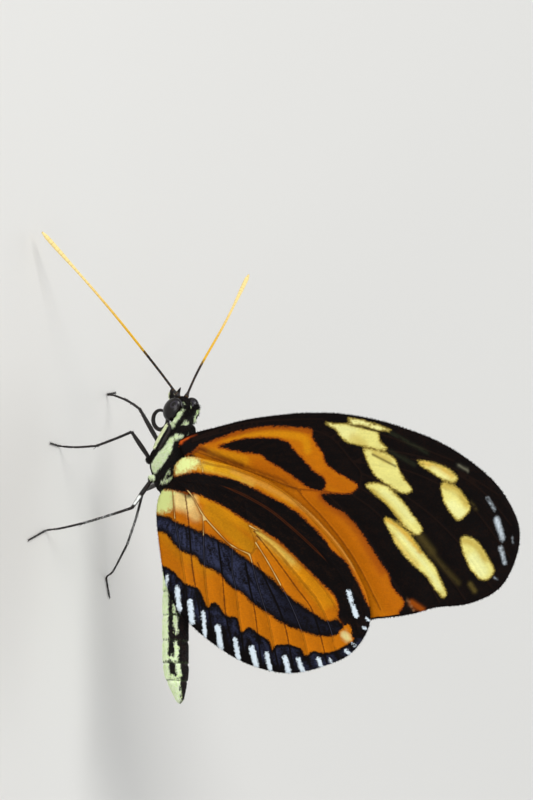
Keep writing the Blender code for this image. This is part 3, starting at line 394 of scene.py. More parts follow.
# Claws and spurs, as steps along the foot or leg, across it and up.
CLAW_STEPS = ((-0.05, 0.0, 0.0), (0.14, 0.10, 0.05), (0.26, 0.14, -0.07))
SPUR_STEPS = ((0.0, 0.0, 0.0, 0.0), (0.03, 0.12, 0.1, -0.05), (0.10, 0.25, 0.2, -0.1))
CLAW_RADII, SPUR_RADII = (0.045, 0.012), (0.05, 0.012)
SPINE_FLOOR, SPINE_HALF, HAIR_HALF = 0.012, 0.022, 0.035
SHIN_BOW, PALE_SPINE = (0.0, 0.0, 0.12), 0.6
FORELEG_RADIUS, FORELEG_SIDES = 0.24, 16
FORELEG_OUTWARD = (0.0, 0.8, -0.6)
ANTENNAE = {
    "antenna_left": [(-11.5, -3.5, 11.5), (-18.2, -9.3, 7.4), (-26.0, -15.2, 1.6)],
    "antenna_right": [(-11.9, 4.2, 14.0), (-18.4, 11.2, 14.0), (-25.0, 17.6, 13.9)],
}
ANTENNA_ROOT = (1.30, 0.62, 0.45)
# Feeler, in shares of its radius and length: swelling, start and span of the club, loss, start
# and span of the tip, and swelling, place and half width of the root.
CLUB_SWELL, CLUB_START, CLUB_SPAN = 0.75, 0.72, 0.2
TIP_LOSS, TIP_START, TIP_SPAN = 0.55, 0.965, 0.035
ROOT_SWELL, ROOT_PLACE, ROOT_HALF = 0.9, 0.01, 0.02
PALP_ROOT, PALP_TIP = (1.05, 0.35, -0.80), (2.50, 0.75, -0.45)
PROBOSCIS_MOUTH = (0.55, 0.0, -1.20)
PROBOSCIS_RING, PROBOSCIS_RING_RADIUS = (-0.94, 0.0, -3.42), 1.17

# Eye mesh, and its painted pseudopupil spots as (forward, up) in shares of its size.
EYE_RINGS, EYE_AROUND = 48, 72
EYE_SPOTS = ((0.60, 0.12), (0.10, 0.18), (0.30, -0.45))
PALP_RADIUS, PALP_SIDES, PALP_SAG = 0.30, 14, 0.18
TONGUE_SIDES, TONGUE_SHARES, TONGUE_RADII = 14, (0, 0.75, 1), (0.28, 0.26, 0.18)
COIL_POINTS, COIL_START, COIL_STEP = 15, 55, 24

# Lights: place in metres, width, which power they take and how much of it.
LIGHTS = [("key light", (-0.42, -0.34, 0.52), 0.34, "key", 1.0),
          ("side light", (0.12, -0.62, 0.10), 0.45, "fill", 1.7),
          ("back light", (-0.1, 0.6, 0.45), 0.45, "fill", 1.0)]
LIGHT_AIM, SKY_TINT = Vector((0.0, 0.0, 0.02)), (0.93, 0.96, 1.0, 1.0)

# Camera: where it looks, how far off it is, and how it is turned.
VIEW_POINT_PIXEL = (168.0, 462.0)
VIEW_POINT = Vector((0.0, 0.0, 12.3))
VIEW_RISE, VIEW_FROM_BEHIND = 24.0, 6.0
VIEW_DISTANCE = 550.0
PIXELS_PER_MM = 8.3
PICTURE, SENSOR = (533, 800), 24.0


def srgb(code):
    """Linear colour of a six-digit sRGB code."""
    parts = [int(code[i:i + 2], 16) / 255 for i in (0, 2, 4)]
    return tuple(c / 12.92 if c <= 0.04045 else ((c + 0.055) / 1.055) ** 2.4 for c in parts)


def place(points):
    """Body millimetres to the frame's metres."""
    return (np.asarray(points, float) + np.array(BODY_ZERO)) * MM


def smooth_step(t):
    """0 below 0, 1 above 1, smooth between."""
    t = np.clip(t, 0.0, 1.0)
    return t * t * (3 - 2 * t)


def spline(points, spacing, closed=False):
    """Points at an even spacing on a smooth curve through the given ones."""
    p = np.asarray(points, float)
    if closed:
        p = np.vstack([p[-1], p, p[0], p[1]])
    else:
        p = np.vstack([2 * p[0] - p[1], p, 2 * p[-1] - p[-2]])
    steps = np.linspace(0, 1, 24, endpoint=False)[:, None]
    curve = []
    for a, b, c, d in zip(p, p[1:], p[2:], p[3:]):
        curve.append(0.5 * (2 * b + (c - a) * steps + (2 * a - 5 * b + 4 * c - d) * steps ** 2
                            + (3 * b - a - 3 * c + d) * steps ** 3))
    curve = np.vstack(curve + [p[-2][None, :]])
    length = np.concatenate([[0], np.cumsum(np.linalg.norm(np.diff(curve, axis=0), axis=1))])
    count = max(2, int(round(length[-1] / spacing)) + 1)
    even = np.linspace(0, length[-1], count)
    result = np.stack([np.interp(even, length, curve[:, k]) for k in range(p.shape[1])], axis=1)
    return result[:-1] if closed else result


def line_distance(points, line, closed=False):
    """Distance of each point to a polyline, in as many dimensions as both have."""
    points = np.asarray(points, float)
    line = np.asarray(line, float)
    starts = line if closed else line[:-1]
    ends = np.roll(line, -1, axis=0) if closed else line[1:]
    best = np.full(len(points), 1e9)
    for a, b in zip(starts, ends):
        along = b - a
        t = np.clip((points - a) @ along / max(along @ along, 1e-12), 0, 1)
        best = np.minimum(best, np.linalg.norm(points - a - t[:, None] * along, axis=1))
    return best


def depth_in(points, outline):
    """Distance to a closed outline, positive inside it."""
    outline = np.asarray(outline, float)
    x, z = points[:, 0], points[:, 1]
    crossed = np.zeros(len(points), bool)
    for (ax, az), (bx, bz) in zip(outline, np.roll(outline, -1, axis=0)):
        spans = (az > z) != (bz > z)
        edge = ax + (z - az) * (bx - ax) / (bz - az if bz != az else 1e-9)
        crossed ^= spans & (x < edge)
    return np.where(crossed, 1, -1) * line_distance(points, outline, True)


def any_depth(points, outlines):
    """Depth inside the nearest of several smooth closed outlines."""
    return np.max([depth_in(points, spline(o, MARK_STEP, True)) for o in outlines], axis=0)


def stroke_depth(points, strokes):
    """Depth inside the nearest of several round-ended strokes."""
    return np.max([half - line_distance(points, [a, b]) for a, b, half in strokes], axis=0)


def lines_distance(points, lines):
    """Distance to the nearest of several smooth lines."""
    return np.min([line_distance(points, spline(line, VEIN_STEP)) for line in lines], axis=0)


class Builder:
    """Collects points, faces and per-point values of one mesh."""

    def __init__(self):
        self.points, self.faces, self.values, self.patches = [], [], {}, []
        self.count = 0

    def add(self, points, faces, patch=None, **values):
        """Faces count from the first of these points. A patch is a place on the bake map."""
        points = np.asarray(points, float)
        self.points.append(points)
        self.faces += [tuple(i + self.count for i in face) for face in faces]
        for name, value in values.items():
            value = np.asarray(value, float)
            shape = (len(points),) + (value.shape[-1:] if value.ndim == 2 else ())
            if value.ndim == 0:
                value = np.full(len(points), float(value))
            self.values.setdefault(name, []).append(value.reshape(shape))
        if patch is not None:
            self.patches.append(np.broadcast_to(patch, (len(points), 2)))
        self.count += len(points)

    def finish(self, name, material, slot, nodes=()):
        """Makes the object, rides it on the body and lets it replace its CAD nodes."""
        mesh = bpy.data.meshes.new(name)
        mesh.from_pydata(place(np.vstack(self.points)).tolist(), [], self.faces)
        for key, parts in self.values.items():
            value = np.concatenate(parts)
            kind = "FLOAT_VECTOR" if value.ndim == 2 else "FLOAT"
            layer = mesh.attributes.new(key, kind, "POINT")
            layer.data.foreach_set("vector" if value.ndim == 2 else "value", value.ravel())
        if self.patches:
            spots = np.vstack(self.patches)
            loops = np.zeros(len(mesh.loops), int)
            mesh.loops.foreach_get("vertex_index", loops)
            mesh.uv_layers.new(name="OFBake").data.foreach_set("uv", spots[loops].ravel())
        mesh.polygons.foreach_set("use_smooth", [True] * len(mesh.polygons))
        mesh.materials.append(material)
        mesh.update()
        piece = bpy.data.objects.new(name, mesh)
        bpy.context.scene.collection.objects.link(piece)
        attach(piece, ROOT)
        if nodes:
            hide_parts(*nodes)
        return piece


def frames_along(path):
    """Tangent, side and up of each point of a path, turned as little as can be."""
    path = np.asarray(path, float)
    tangent = np.gradient(path, axis=0)
    tangent /= np.linalg.norm(tangent, axis=1)[:, None]
    start = np.array([0.0, 0.0, 1.0])
    if abs(tangent[0] @ start) > 0.9:
        start = np.array([0.0, 1.0, 0.0])
    ups = []
    for t in tangent:
        start = start - (start @ t) * t
        start = start / np.linalg.norm(start)
        ups.append(start)
    up = np.array(ups)
    return tangent, np.cross(up, tangent), up


def ring_faces(count, sides):
    """Faces between each ring of points and the next."""
    return [(i * sides + j, i * sides + k, (i + 1) * sides + k, (i + 1) * sides + j)
            for i in range(count - 1) for j, k in enumerate([*range(1, sides), 0])]


def tube(path, radii, sides):
    """Points, faces and the share of length of a closed tube with rounded ends."""
    path = np.asarray(path, float)
    radii = np.broadcast_to(radii, (len(path),))
    _, side, up = frames_along(path)
    turn = np.linspace(0, 2 * math.pi, sides, endpoint=False)
    spokes = (np.cos(turn)[None, :, None] * side[:, None, :]
              + np.sin(turn)[None, :, None] * up[:, None, :])
    rings = path[:, None, :] + radii[:, None, None] * spokes
    points = np.vstack([rings.reshape(-1, 3), path[:1], path[-1:]])
    faces = ring_faces(len(path), sides)
    first, last = len(points) - 2, len(points) - 1
    base = (len(path) - 1) * sides
    for j in range(sides):
        k = (j + 1) % sides
        faces.append((k, j, first))
        faces.append((base + j, base + k, last))
    share = np.repeat(np.linspace(0, 1, len(path)), sides)
    return points, faces, np.concatenate([share, [0.0, 1.0]])


SPIKE_FACES = [(0, 1, 4, 3), (1, 2, 5, 4), (2, 0, 3, 5), (3, 4, 6), (4, 5, 6), (5, 3, 6)]


def spike(root, lie, out, length, half, lift, bend=0.0):
    """A thin three-sided tuft that leaves the root along lie and rises by lift of its length."""
    lie = lie - (lie @ out) * out
    lie = lie / max(np.linalg.norm(lie), 1e-9)
    across = np.cross(out, lie)
    middle = root + length * (0.5 * lie + 0.55 * lift * out + 0.5 * bend * across)
    tip = root + length * (lie + 0.75 * lift * out + bend * across)
    thin = 0.45 * half
    return np.array([root - across * half, root + across * half, root + out * thin + lie * half,
                     middle - across * half * 0.9, middle + across * half * 0.9,
                     middle + out * thin, tip])


def lofted(stations):
    """A closed form through upright rings: x, middle height, half width and half height."""
    turn = np.linspace(0, 2 * math.pi, RING_SIDES, endpoint=False)
    points = [(x, wide * math.cos(angle), z + high * math.sin(angle))
              for x, z, wide, high in stations for angle in turn]
    last = len(points) - RING_SIDES
    ends = [tuple(range(RING_SIDES))[::-1], tuple(range(last, len(points)))]
    return np.array(points), ring_faces(len(stations), RING_SIDES) + ends


class Term:
    """A node socket that takes part in ordinary sums."""

    def __init__(self, paint, socket):
        self.paint, self.socket = paint, socket

    def maths(self, operation, first, second):
        return self.paint.add("ShaderNodeMath", {"operation": operation}, {0: first, 1: second})

    def __add__(self, other):
        return self.maths("ADD", self, other)

    __radd__ = __add__

    def __sub__(self, other):
        return self.maths("SUBTRACT", self, other)

    def __rsub__(self, other):
        return self.maths("SUBTRACT", other, self)

    def __mul__(self, other):
        return self.maths("MULTIPLY", self, other)

    __rmul__ = __mul__

    def __pow__(self, other):
        return self.maths("POWER", self, other)

    def __rpow__(self, other):
        return self.maths("POWER", other, self)


class Paint:
    """One material, built from its nodes."""

    def __init__(self, name, **constants):
        self.material = bpy.data.materials.new(name)
        self.material.use_nodes = True
        self.tree = self.material.node_tree
        self.tree.nodes.clear()
        self.shader = self.tree.nodes.new("ShaderNodeBsdfPrincipled")
        output = self.tree.nodes.new("ShaderNodeOutputMaterial")
        self.tree.links.new(self.shader.outputs[0], output.inputs["Surface"])
        for key, value in constants.items():
            self.shader.inputs[key.replace("_", " ")].default_value = value

    def add(self, kind, settings=None, sockets=None, output=0):
        """Adds a node, with its settings first, and returns one of its outputs."""
        node = self.tree.nodes.new(kind)
        for key, value in (settings or {}).items():
            setattr(node, key, value)
        for key, value in (sockets or {}).items():
            self.fill(node.inputs[key], value)
        return Term(self, node.outputs[output])

    def fill(self, socket, value):
        """Links a term to a socket, or sets a constant on it."""
        if isinstance(value, Term):
            self.tree.links.new(value.socket, socket)
        elif socket.type == "RGBA":
            socket.default_value = (*value[:3], 1.0)
        else:
            socket.default_value = value

    def set(self, **sockets):
        """Feeds the shader's own sockets."""
        for key, value in sockets.items():
            self.fill(self.shader.inputs[key.replace("_", " ")], value)

    def value(self, name):
        """A number that the mesh carries at each point."""
        return self.add("ShaderNodeAttribute", {"attribute_name": name}, output="Fac")

    def vector(self, name):
        """A vector or colour that the mesh carries at each point."""
        return self.add("ShaderNodeAttribute", {"attribute_name": name}, output="Vector")

    def place(self):
        """Object coordinates in millimetres."""
        where = self.add("ShaderNodeTexCoord", output="Object")
        return self.scaled(where, 1 / MM)

    def scaled(self, vector, factor):
        """A vector times one factor, or times one for each axis."""
        factor = (factor, factor, factor) if isinstance(factor, (int, float)) else factor
        return self.add("ShaderNodeVectorMath", {"operation": "MULTIPLY"}, {0: vector, 1: factor})

    def noise(self, vector, scale, detail=2.0):
        """Smooth noise about 0.5."""
        return self.add("ShaderNodeTexNoise", None,
                        {"Vector": vector, "Scale": scale, "Detail": detail}, "Fac")

    def cells(self, vector, scale):
        """One random value for each cell."""
        spot = self.add("ShaderNodeTexVoronoi", None, {"Vector": vector, "Scale": scale}, "Color")
        return self.add("ShaderNodeSeparateColor", None, {0: spot})

    def cell_rise(self, vector, scale):
        """Distance from each cell's middle."""
        return self.add("ShaderNodeTexVoronoi", None, {"Vector": vector, "Scale": scale},
                        "Distance")

    def step(self, value, low, high):
        """0 below low, 1 above high, smooth between."""
        return self.add("ShaderNodeMapRange", {"interpolation_type": "SMOOTHSTEP"},
                        {"Value": value, "From Min": low, "From Max": high})

    def fade(self, value, low, high):
        """1 below low, 0 above high, smooth between."""
        return 1 - self.step(value, low, high)

    def mix(self, first, second, share):
        """The first colour, turning into the second one where the share is up."""
        return self.add("ShaderNodeMix", {"data_type": "RGBA"},
                        {"Factor": share, 6: first, 7: second}, 2)

    def tinted(self, colour, share):
        """A colour made lighter or darker."""
        return self.add("ShaderNodeVectorMath", {"operation": "SCALE"},
                        {0: colour, "Scale": share})

    def bump(self, height, strength, distance):
        """Height in millimetres as a change of the normal."""
        normal = self.add("ShaderNodeBump", None, {"Height": height, "Strength": strength,
                                                   "Distance": distance * MM})
        self.set(Normal=normal)


def forewing_sheet(x, z):
    """How far the middle of the forewing stands from the mid-plane."""
    hinge_x, hinge_z = FOREWING_HINGE
    off = (x - hinge_x) ** 2 + (z - hinge_z) ** 2
    return FOREWING_REST + FOREWING_SPLAY * np.exp(-off / FOREWING_SPREAD)


def hindwing_sheet(x, z):
    """How far the middle of the hindwing stands from the mid-plane, clear of the abdomen."""
    shoulder_x, shoulder_z = HINDWING_SHOULDER
    fold = ABDOMEN_CLEARANCE * smooth_step((FOLD_HIGH - z) / (FOLD_HIGH - FOLD_LOW))
    off = (x - shoulder_x) ** 2 + (z - shoulder_z) ** 2
    shoulder = np.exp(-off / HINDWING_SPREAD)
    return HINDWING_REST + fold + HINDWING_SPLAY * shoulder


def wing_layout(outline, lines, pitch, seed):
    """Flat points and triangles that follow the margin and every line."""
    rng = np.random.default_rng(seed)
    rim = spline(outline, pitch, True)
    paths = [spline(line, pitch) for line in lines]
    paths = [path[depth_in(path, rim) > LINE_INSET * pitch] for path in paths]
    low, high = rim.min(axis=0), rim.max(axis=0)
    rows = np.arange(low[1], high[1], pitch * ROW_SHARE)
    grid = [(x + 0.5 * pitch * (i % 2), z) for i, z in enumerate(rows)
            for x in np.arange(low[0], high[0], pitch)]
    grid = np.array(grid) + rng.uniform(-SCATTER, SCATTER, (len(grid), 2)) * pitch
    grid = grid[depth_in(grid, rim) > RIM_GAP * pitch]
    to_line = np.min([line_distance(grid, path) for path in paths], axis=0)
    grid = grid[to_line > LINE_GAP * pitch]
    points = [Vector(p) for p in rim]
    edges = [(i, (i + 1) % len(rim)) for i in range(len(rim))]
    for path in paths:
        edges += [(len(points) + i, len(points) + i + 1) for i in range(len(path) - 1)]
        points += [Vector(p) for p in path]
    points += [Vector(p) for p in grid]
    flat, _, faces, _, _, _ = delaunay_2d_cdt(points, edges, [], 0, WELD, True)
    flat = np.array([tuple(p) for p in flat])
    faces = np.array([tuple(face) for face in faces if len(face) == 3])
    faces = faces[depth_in(flat[faces].mean(axis=1), rim) > 0]
    a, b, c = flat[faces[:, 0]], flat[faces[:, 1]], flat[faces[:, 2]]
    turned = (b - a)[:, 0] * (c - a)[:, 1] - (b - a)[:, 1] * (c - a)[:, 0] < 0
    faces[turned] = faces[turned][:, ::-1]
    return flat, faces


def rim_edges(faces):
    """Edges that only one triangle has, in that triangle's order."""
    seen = {}
    for a, b, c in faces:
        for edge in ((a, b), (b, c), (c, a)):
            seen[edge] = True
    return [edge for edge in seen if edge[::-1] not in seen]


def touch_share(flat, line, half, soft, strength):
    """How strong a soft touch along a line is at each point."""
    away = line_distance(flat, spline(line, TOUCH_STEP))
    return strength * (1 - smooth_step((away - half) / soft))


def touched(flat, base, touches, sizes):
    """The wing's ground colour, with soft touches of others laid over it in turn."""
    colour = np.tile(np.array(getattr(sizes, base)), (len(flat), 1))
    for line, half, soft, name, strength in touches:
        share = touch_share(flat, line, half, soft, strength)[:, None]
        colour = colour * (1 - share) + np.array(getattr(sizes, name)) * share
    return colour


def shaded(flat, touches):
    """How strong each of several soft touches is, the strongest one counting."""
    return np.max([touch_share(flat, line, half, soft, strength)
                   for line, half, soft, _, strength in touches], axis=0)


def fan(flat):
    """Turn and reach about the wing's root, for streaks that run with the veins."""
    away = flat - WING_ROOT
    reach = np.linalg.norm(away, axis=1)
    turn = np.arctan2(away[:, 1], away[:, 0])
    return np.column_stack([turn * FAN_TURN, reach * FAN_REACH, np.zeros(len(flat))])


def ray_phase(flat):
    """0 just above one ray of the hindwing, 1 just below the next, for the painted shading of the
    pleats.
    """
    lines = {**HINDWING_VEINS, **HINDWING_FOLDS}
    below, above = np.full(len(flat), WIDEST_CELL), np.full(len(flat), WIDEST_CELL)
    for name in HINDWING_RAYS:
        line = spline(lines[name], VEIN_STEP)
        line = line[np.argsort(line[:, 0])]
        rise = flat[:, 1] - np.interp(flat[:, 0], line[:, 0], line[:, 1])
        rise = np.where(flat[:, 0] > line[0, 0] - VEIN_STEP, rise, FAR_OFF)
        below = np.where(rise >= 0, np.minimum(below, rise), below)
        above = np.where(rise < 0, np.minimum(above, -rise), above)
    return below / (below + above)


def forewing_values(flat, sizes):
    """What the forewing's material needs at each point."""
    over = touched(flat, "dark", [t[:3] + (t[3], 1.0) for t in FOREWING_SHADES], sizes)
    return {
        "ground": touched(flat, "orange", FOREWING_TOUCHES, sizes), "over": over,
        "shade": shaded(flat, FOREWING_SHADES), "fan": fan(flat),
        "dark": any_depth(flat, FOREWING_DARK), "yellow": any_depth(flat, FOREWING_YELLOW),
        "pale": stroke_depth(flat, FOREWING_PALE),
        "vein": lines_distance(flat, list(FOREWING_VEINS.values())),
        "parting": lines_distance(flat, list(FOREWING_PARTINGS.values())),
        "pale_ground": touched(flat, "yellow", YELLOW_TOUCHES, sizes),
        "edge": depth_in(flat, spline(FOREWING_OUTLINE, TOUCH_STEP, True)),
    }


def rust_line(flat):
    """Distance to the rust line of the gold stripe, which fades at both ends."""
    x, first, last = flat[:, 0], HINDWING_RUST[0][0], HINDWING_RUST[-1][0]
    root, end = RUST_FADES
    fading = smooth_step((x - last + end) / end) + smooth_step((first + root - x) / root)
    return lines_distance(flat, [HINDWING_RUST]) + 0.2 * fading


def hindwing_values(flat, sizes):
    """What the hindwing's material needs at each point."""
    return {
        "ground": touched(flat, "orange", HINDWING_TOUCHES, sizes), "fan": fan(flat),
        "phase": ray_phase(flat),
        "stripe": any_depth(flat, [HINDWING_STRIPE]), "band": any_depth(flat, [HINDWING_BAND]),
        "margin": any_depth(flat, [HINDWING_MARGIN]),
        "bar": np.minimum(stroke_depth(flat, HINDWING_BARS),
                          line_distance(flat, HINDWING_BAR_CUT) - BAR_CUT_HALF),
        "cream": any_depth(flat, HINDWING_ROOT_CREAM),
        "anal": any_depth(flat, HINDWING_CORNER_CREAM),
        "corner": any_depth(flat, [HINDWING_CORNER]),
        "rust": rust_line(flat),
        "pale_vein": lines_distance(flat, HINDWING_PALE_VEINS),
        # How strong the painted bluish sheen of the bands is, weaker higher up.
        "cool": 1 - BLUE_LOSS * smooth_step((flat[:, 1] - BLUE_HEIGHT) / BLUE_SPAN),
        "vein": lines_distance(flat, list(HINDWING_VEINS.values())),
        "fold": lines_distance(flat, list(HINDWING_FOLDS.values())),
        "edge": depth_in(flat, spline(HINDWING_OUTLINE, TOUCH_STEP, True)),
    }


WINGS = {
    "forewing": (FOREWING_OUTLINE, FOREWING_VEINS, FOREWING_PARTINGS, forewing_sheet,
                 forewing_values, 11),
    "hindwing": (HINDWING_OUTLINE, HINDWING_VEINS, {**HINDWING_FOLDS, "rust": HINDWING_RUST},
                 hindwing_sheet, hindwing_values, 12),
}


def wing_relief(values, sizes):
    """How far a wing rises between its veins and sinks at its folds."""
    edge = smooth_step(values["edge"] / RELIEF_EDGE)
    vein = values["vein"]
    if "fold" not in values:
        return sizes.pleat * edge * (smooth_step(vein / SUNK_FROM_VEIN) - 0.5)
    fold = values["fold"]
    return sizes.pleat * edge * (fold - vein) / (fold + vein + RIDGE_BLUNTNESS)


def wing_piece(kind, side, sizes, material):
    """Both faces, the rim and the margin's hairs of one wing. Side is -1 left, 1 right."""
    outline, veins, folds, sheet, fields, seed = WINGS[kind]
    flat, faces = wing_layout(outline, list(veins.values()) + list(folds.values()),
                              sizes.pitch, seed)
    values = fields(flat, sizes)
    middle = side * (sheet(flat[:, 0], flat[:, 1]) + wing_relief(values, sizes))
    inward = smooth_step(values["edge"] / THINNING_SPAN)
    thin = sizes.membrane / 2 * (RIM_THINNESS + (1 - RIM_THINNESS) * inward)
    span = (flat - flat.min(axis=0)) / (np.ptp(flat, axis=0).max() * 1.02)
    lie = flat
    if side > 0:
        share = smooth_step(np.linalg.norm(flat - SHIFT_ROOT, axis=1) / SHIFT_REACH)
        lie = flat + share[:, None] * RIGHT_SHIFT[kind]
    both_sides = [np.stack([lie[:, 0], depth, lie[:, 1]], axis=1)
                  for depth in (middle - thin, middle + thin)]
    count = len(flat)
    rim = rim_edges(faces)
    sides = [(b, a, a + count, b + count) for a, b in rim]
    builder = Builder()
    where = np.column_stack([flat, np.zeros(count)])
    both = {key: np.concatenate([value, value]) for key, value in values.items()}
    patches = np.vstack([span * WING_PATCH + corner for corner in PATCH_CORNERS])
    shape = [tuple(f) for f in faces] + [tuple(f + count) for f in faces[:, ::-1]] + sides
    builder.add(np.vstack(both_sides), shape, patches, flat=np.vstack([where, where]), **both)
    add_fringe(builder, lie, middle, rim, values, span, sizes, seed + 5)
    name = f"{kind}_{'left' if side < 0 else 'right'}"
    return builder.finish(f"{name}_scaled", material, kind, [name])


def add_fringe(builder, flat, middle, rim, values, span, sizes, seed):
    """Fine hairs that stand out from the margin and carry its colours."""
    rng = np.random.default_rng(seed)
    for a, b in rim:
        along = flat[b] - flat[a]
        out = np.array([along[1], -along[0]])
        out /= max(np.linalg.norm(out), 1e-9)
        for _ in range(max(1, int(np.linalg.norm(along) / sizes.fringe_gap))):
            share = rng.uniform()
            root = flat[a] + along * share - out * FRINGE_INSET
            aim = out + along / np.linalg.norm(along) * rng.normal(0, FRINGE_SCATTER)
            tip = root + aim * sizes.fringe * rng.uniform(*FRINGE_LENGTHS)
            depth = middle[a] + (middle[b] - middle[a]) * share
            side = along / np.linalg.norm(along) * FRINGE_HALF
            points = [(x, depth, z) for x, z in (root - side, root + side, root, tip)]
            points[2] = (root[0], depth + FRINGE_HALF, root[1])
            spot = np.array([(0, 0), (1, 0), (0, 1), (0.5, 0.5)]) * SPOT
            patch = span[a] * WING_PATCH + PATCH_CORNERS[0] + spot - SPOT / 2
            colours = {key: np.tile(value[a], (4, 1) if value.ndim == 2 else 4)
                       for key, value in values.items()}
            place_at = np.tile([*root, rng.uniform()], (4, 1))
            builder.add(points, [(0, 3, 1), (1, 3, 2), (2, 3, 0)], patch, flat=place_at, **colours)


def scale_grain(paint, sizes):
    """A random value for each scale, the way to its middle, streaks along the veins, and fuzz."""
    wide, long = sizes.scale_width, sizes.scale_length
    rows = paint.scaled(paint.vector("flat"), (1 / wide, 1 / long, 1.0))
    cell, rise = paint.cells(rows, 1.0), paint.cell_rise(rows, 1.0)
    streak = paint.noise(paint.vector("fan"), 1.0)
    return cell, rise, streak, (cell - 0.5) * CELL_FUZZ + (streak - 0.5) * STREAK_FUZZ


def scale_finish(paint, colour, cell, rise, vein_height):
    """Colour, sheen and relief of the scales, with the veins standing up a little."""
    ridge = paint.fade(paint.value("vein"), 0.04, 0.30)
    paint.bump(ridge * vein_height - rise * 0.014 + cell * 0.010, 0.8, 1.0)
    paint.set(Base_Color=colour, Roughness=0.50 + cell * 0.2)
    return paint.material


def forewing_material(sizes):
    """Orange ground with black bars, yellow spots and pale dashes."""
    paint = Paint("forewing scales", Specular_IOR_Level=0.05)
    cell, rise, streak, ragged = scale_grain(paint, sizes)
    colour = paint.tinted(paint.vector("ground"), 0.80 + streak * 0.26 + cell * 0.14)
    vein_line = paint.fade(paint.value("vein") + (cell - 0.5) * 0.05, 0.03, 0.15)
    colour = paint.mix(colour, sizes.brown, vein_line * 0.55)
    dark = paint.mix(sizes.dark, sizes.dark_brown, paint.step(cell * 0.5 + streak, 0.55, 1.2) * 0.6)
    dark = paint.mix(dark, sizes.dark_brown, vein_line * 0.7)
    bars = paint.value("dark") + ragged
    dark_share = paint.step(bars, -0.13, 0.13)
    edged = paint.mix(sizes.rust, dark, dark_share)
    colour = paint.mix(colour, edged, paint.step(bars, -0.34, 0.02))
    colour = paint.mix(colour, paint.vector("over"), paint.value("shade") * dark_share)
    inside = paint.value("yellow") + ragged * 0.7
    yellow_share = paint.step(inside, -0.22, 0.20)
    yellow = paint.mix(sizes.yellow_deep, paint.vector("pale_ground"),
                       paint.step(inside + streak * 0.3, 0.0, 0.5))
    parting = paint.fade(paint.value("parting"), 0.02, 0.26)
    yellow = paint.mix(yellow, sizes.olive, parting * 0.7)
    yellow = paint.tinted(yellow, 0.80 + streak * 0.26 + cell * 0.10)
    colour = paint.mix(colour, yellow, yellow_share)
    pale = paint.step(paint.value("pale") + ragged * 0.5, -0.22, 0.34)
    colour = paint.mix(colour, sizes.bluish_white, pale * 0.85)
    rim = paint.fade(paint.value("edge") + ragged * 0.2, 0.10, 0.28)
    colour = paint.mix(colour, dark, rim * (1 - paint.value("shade")))
    return scale_finish(paint, colour, cell, rise, 0.05)


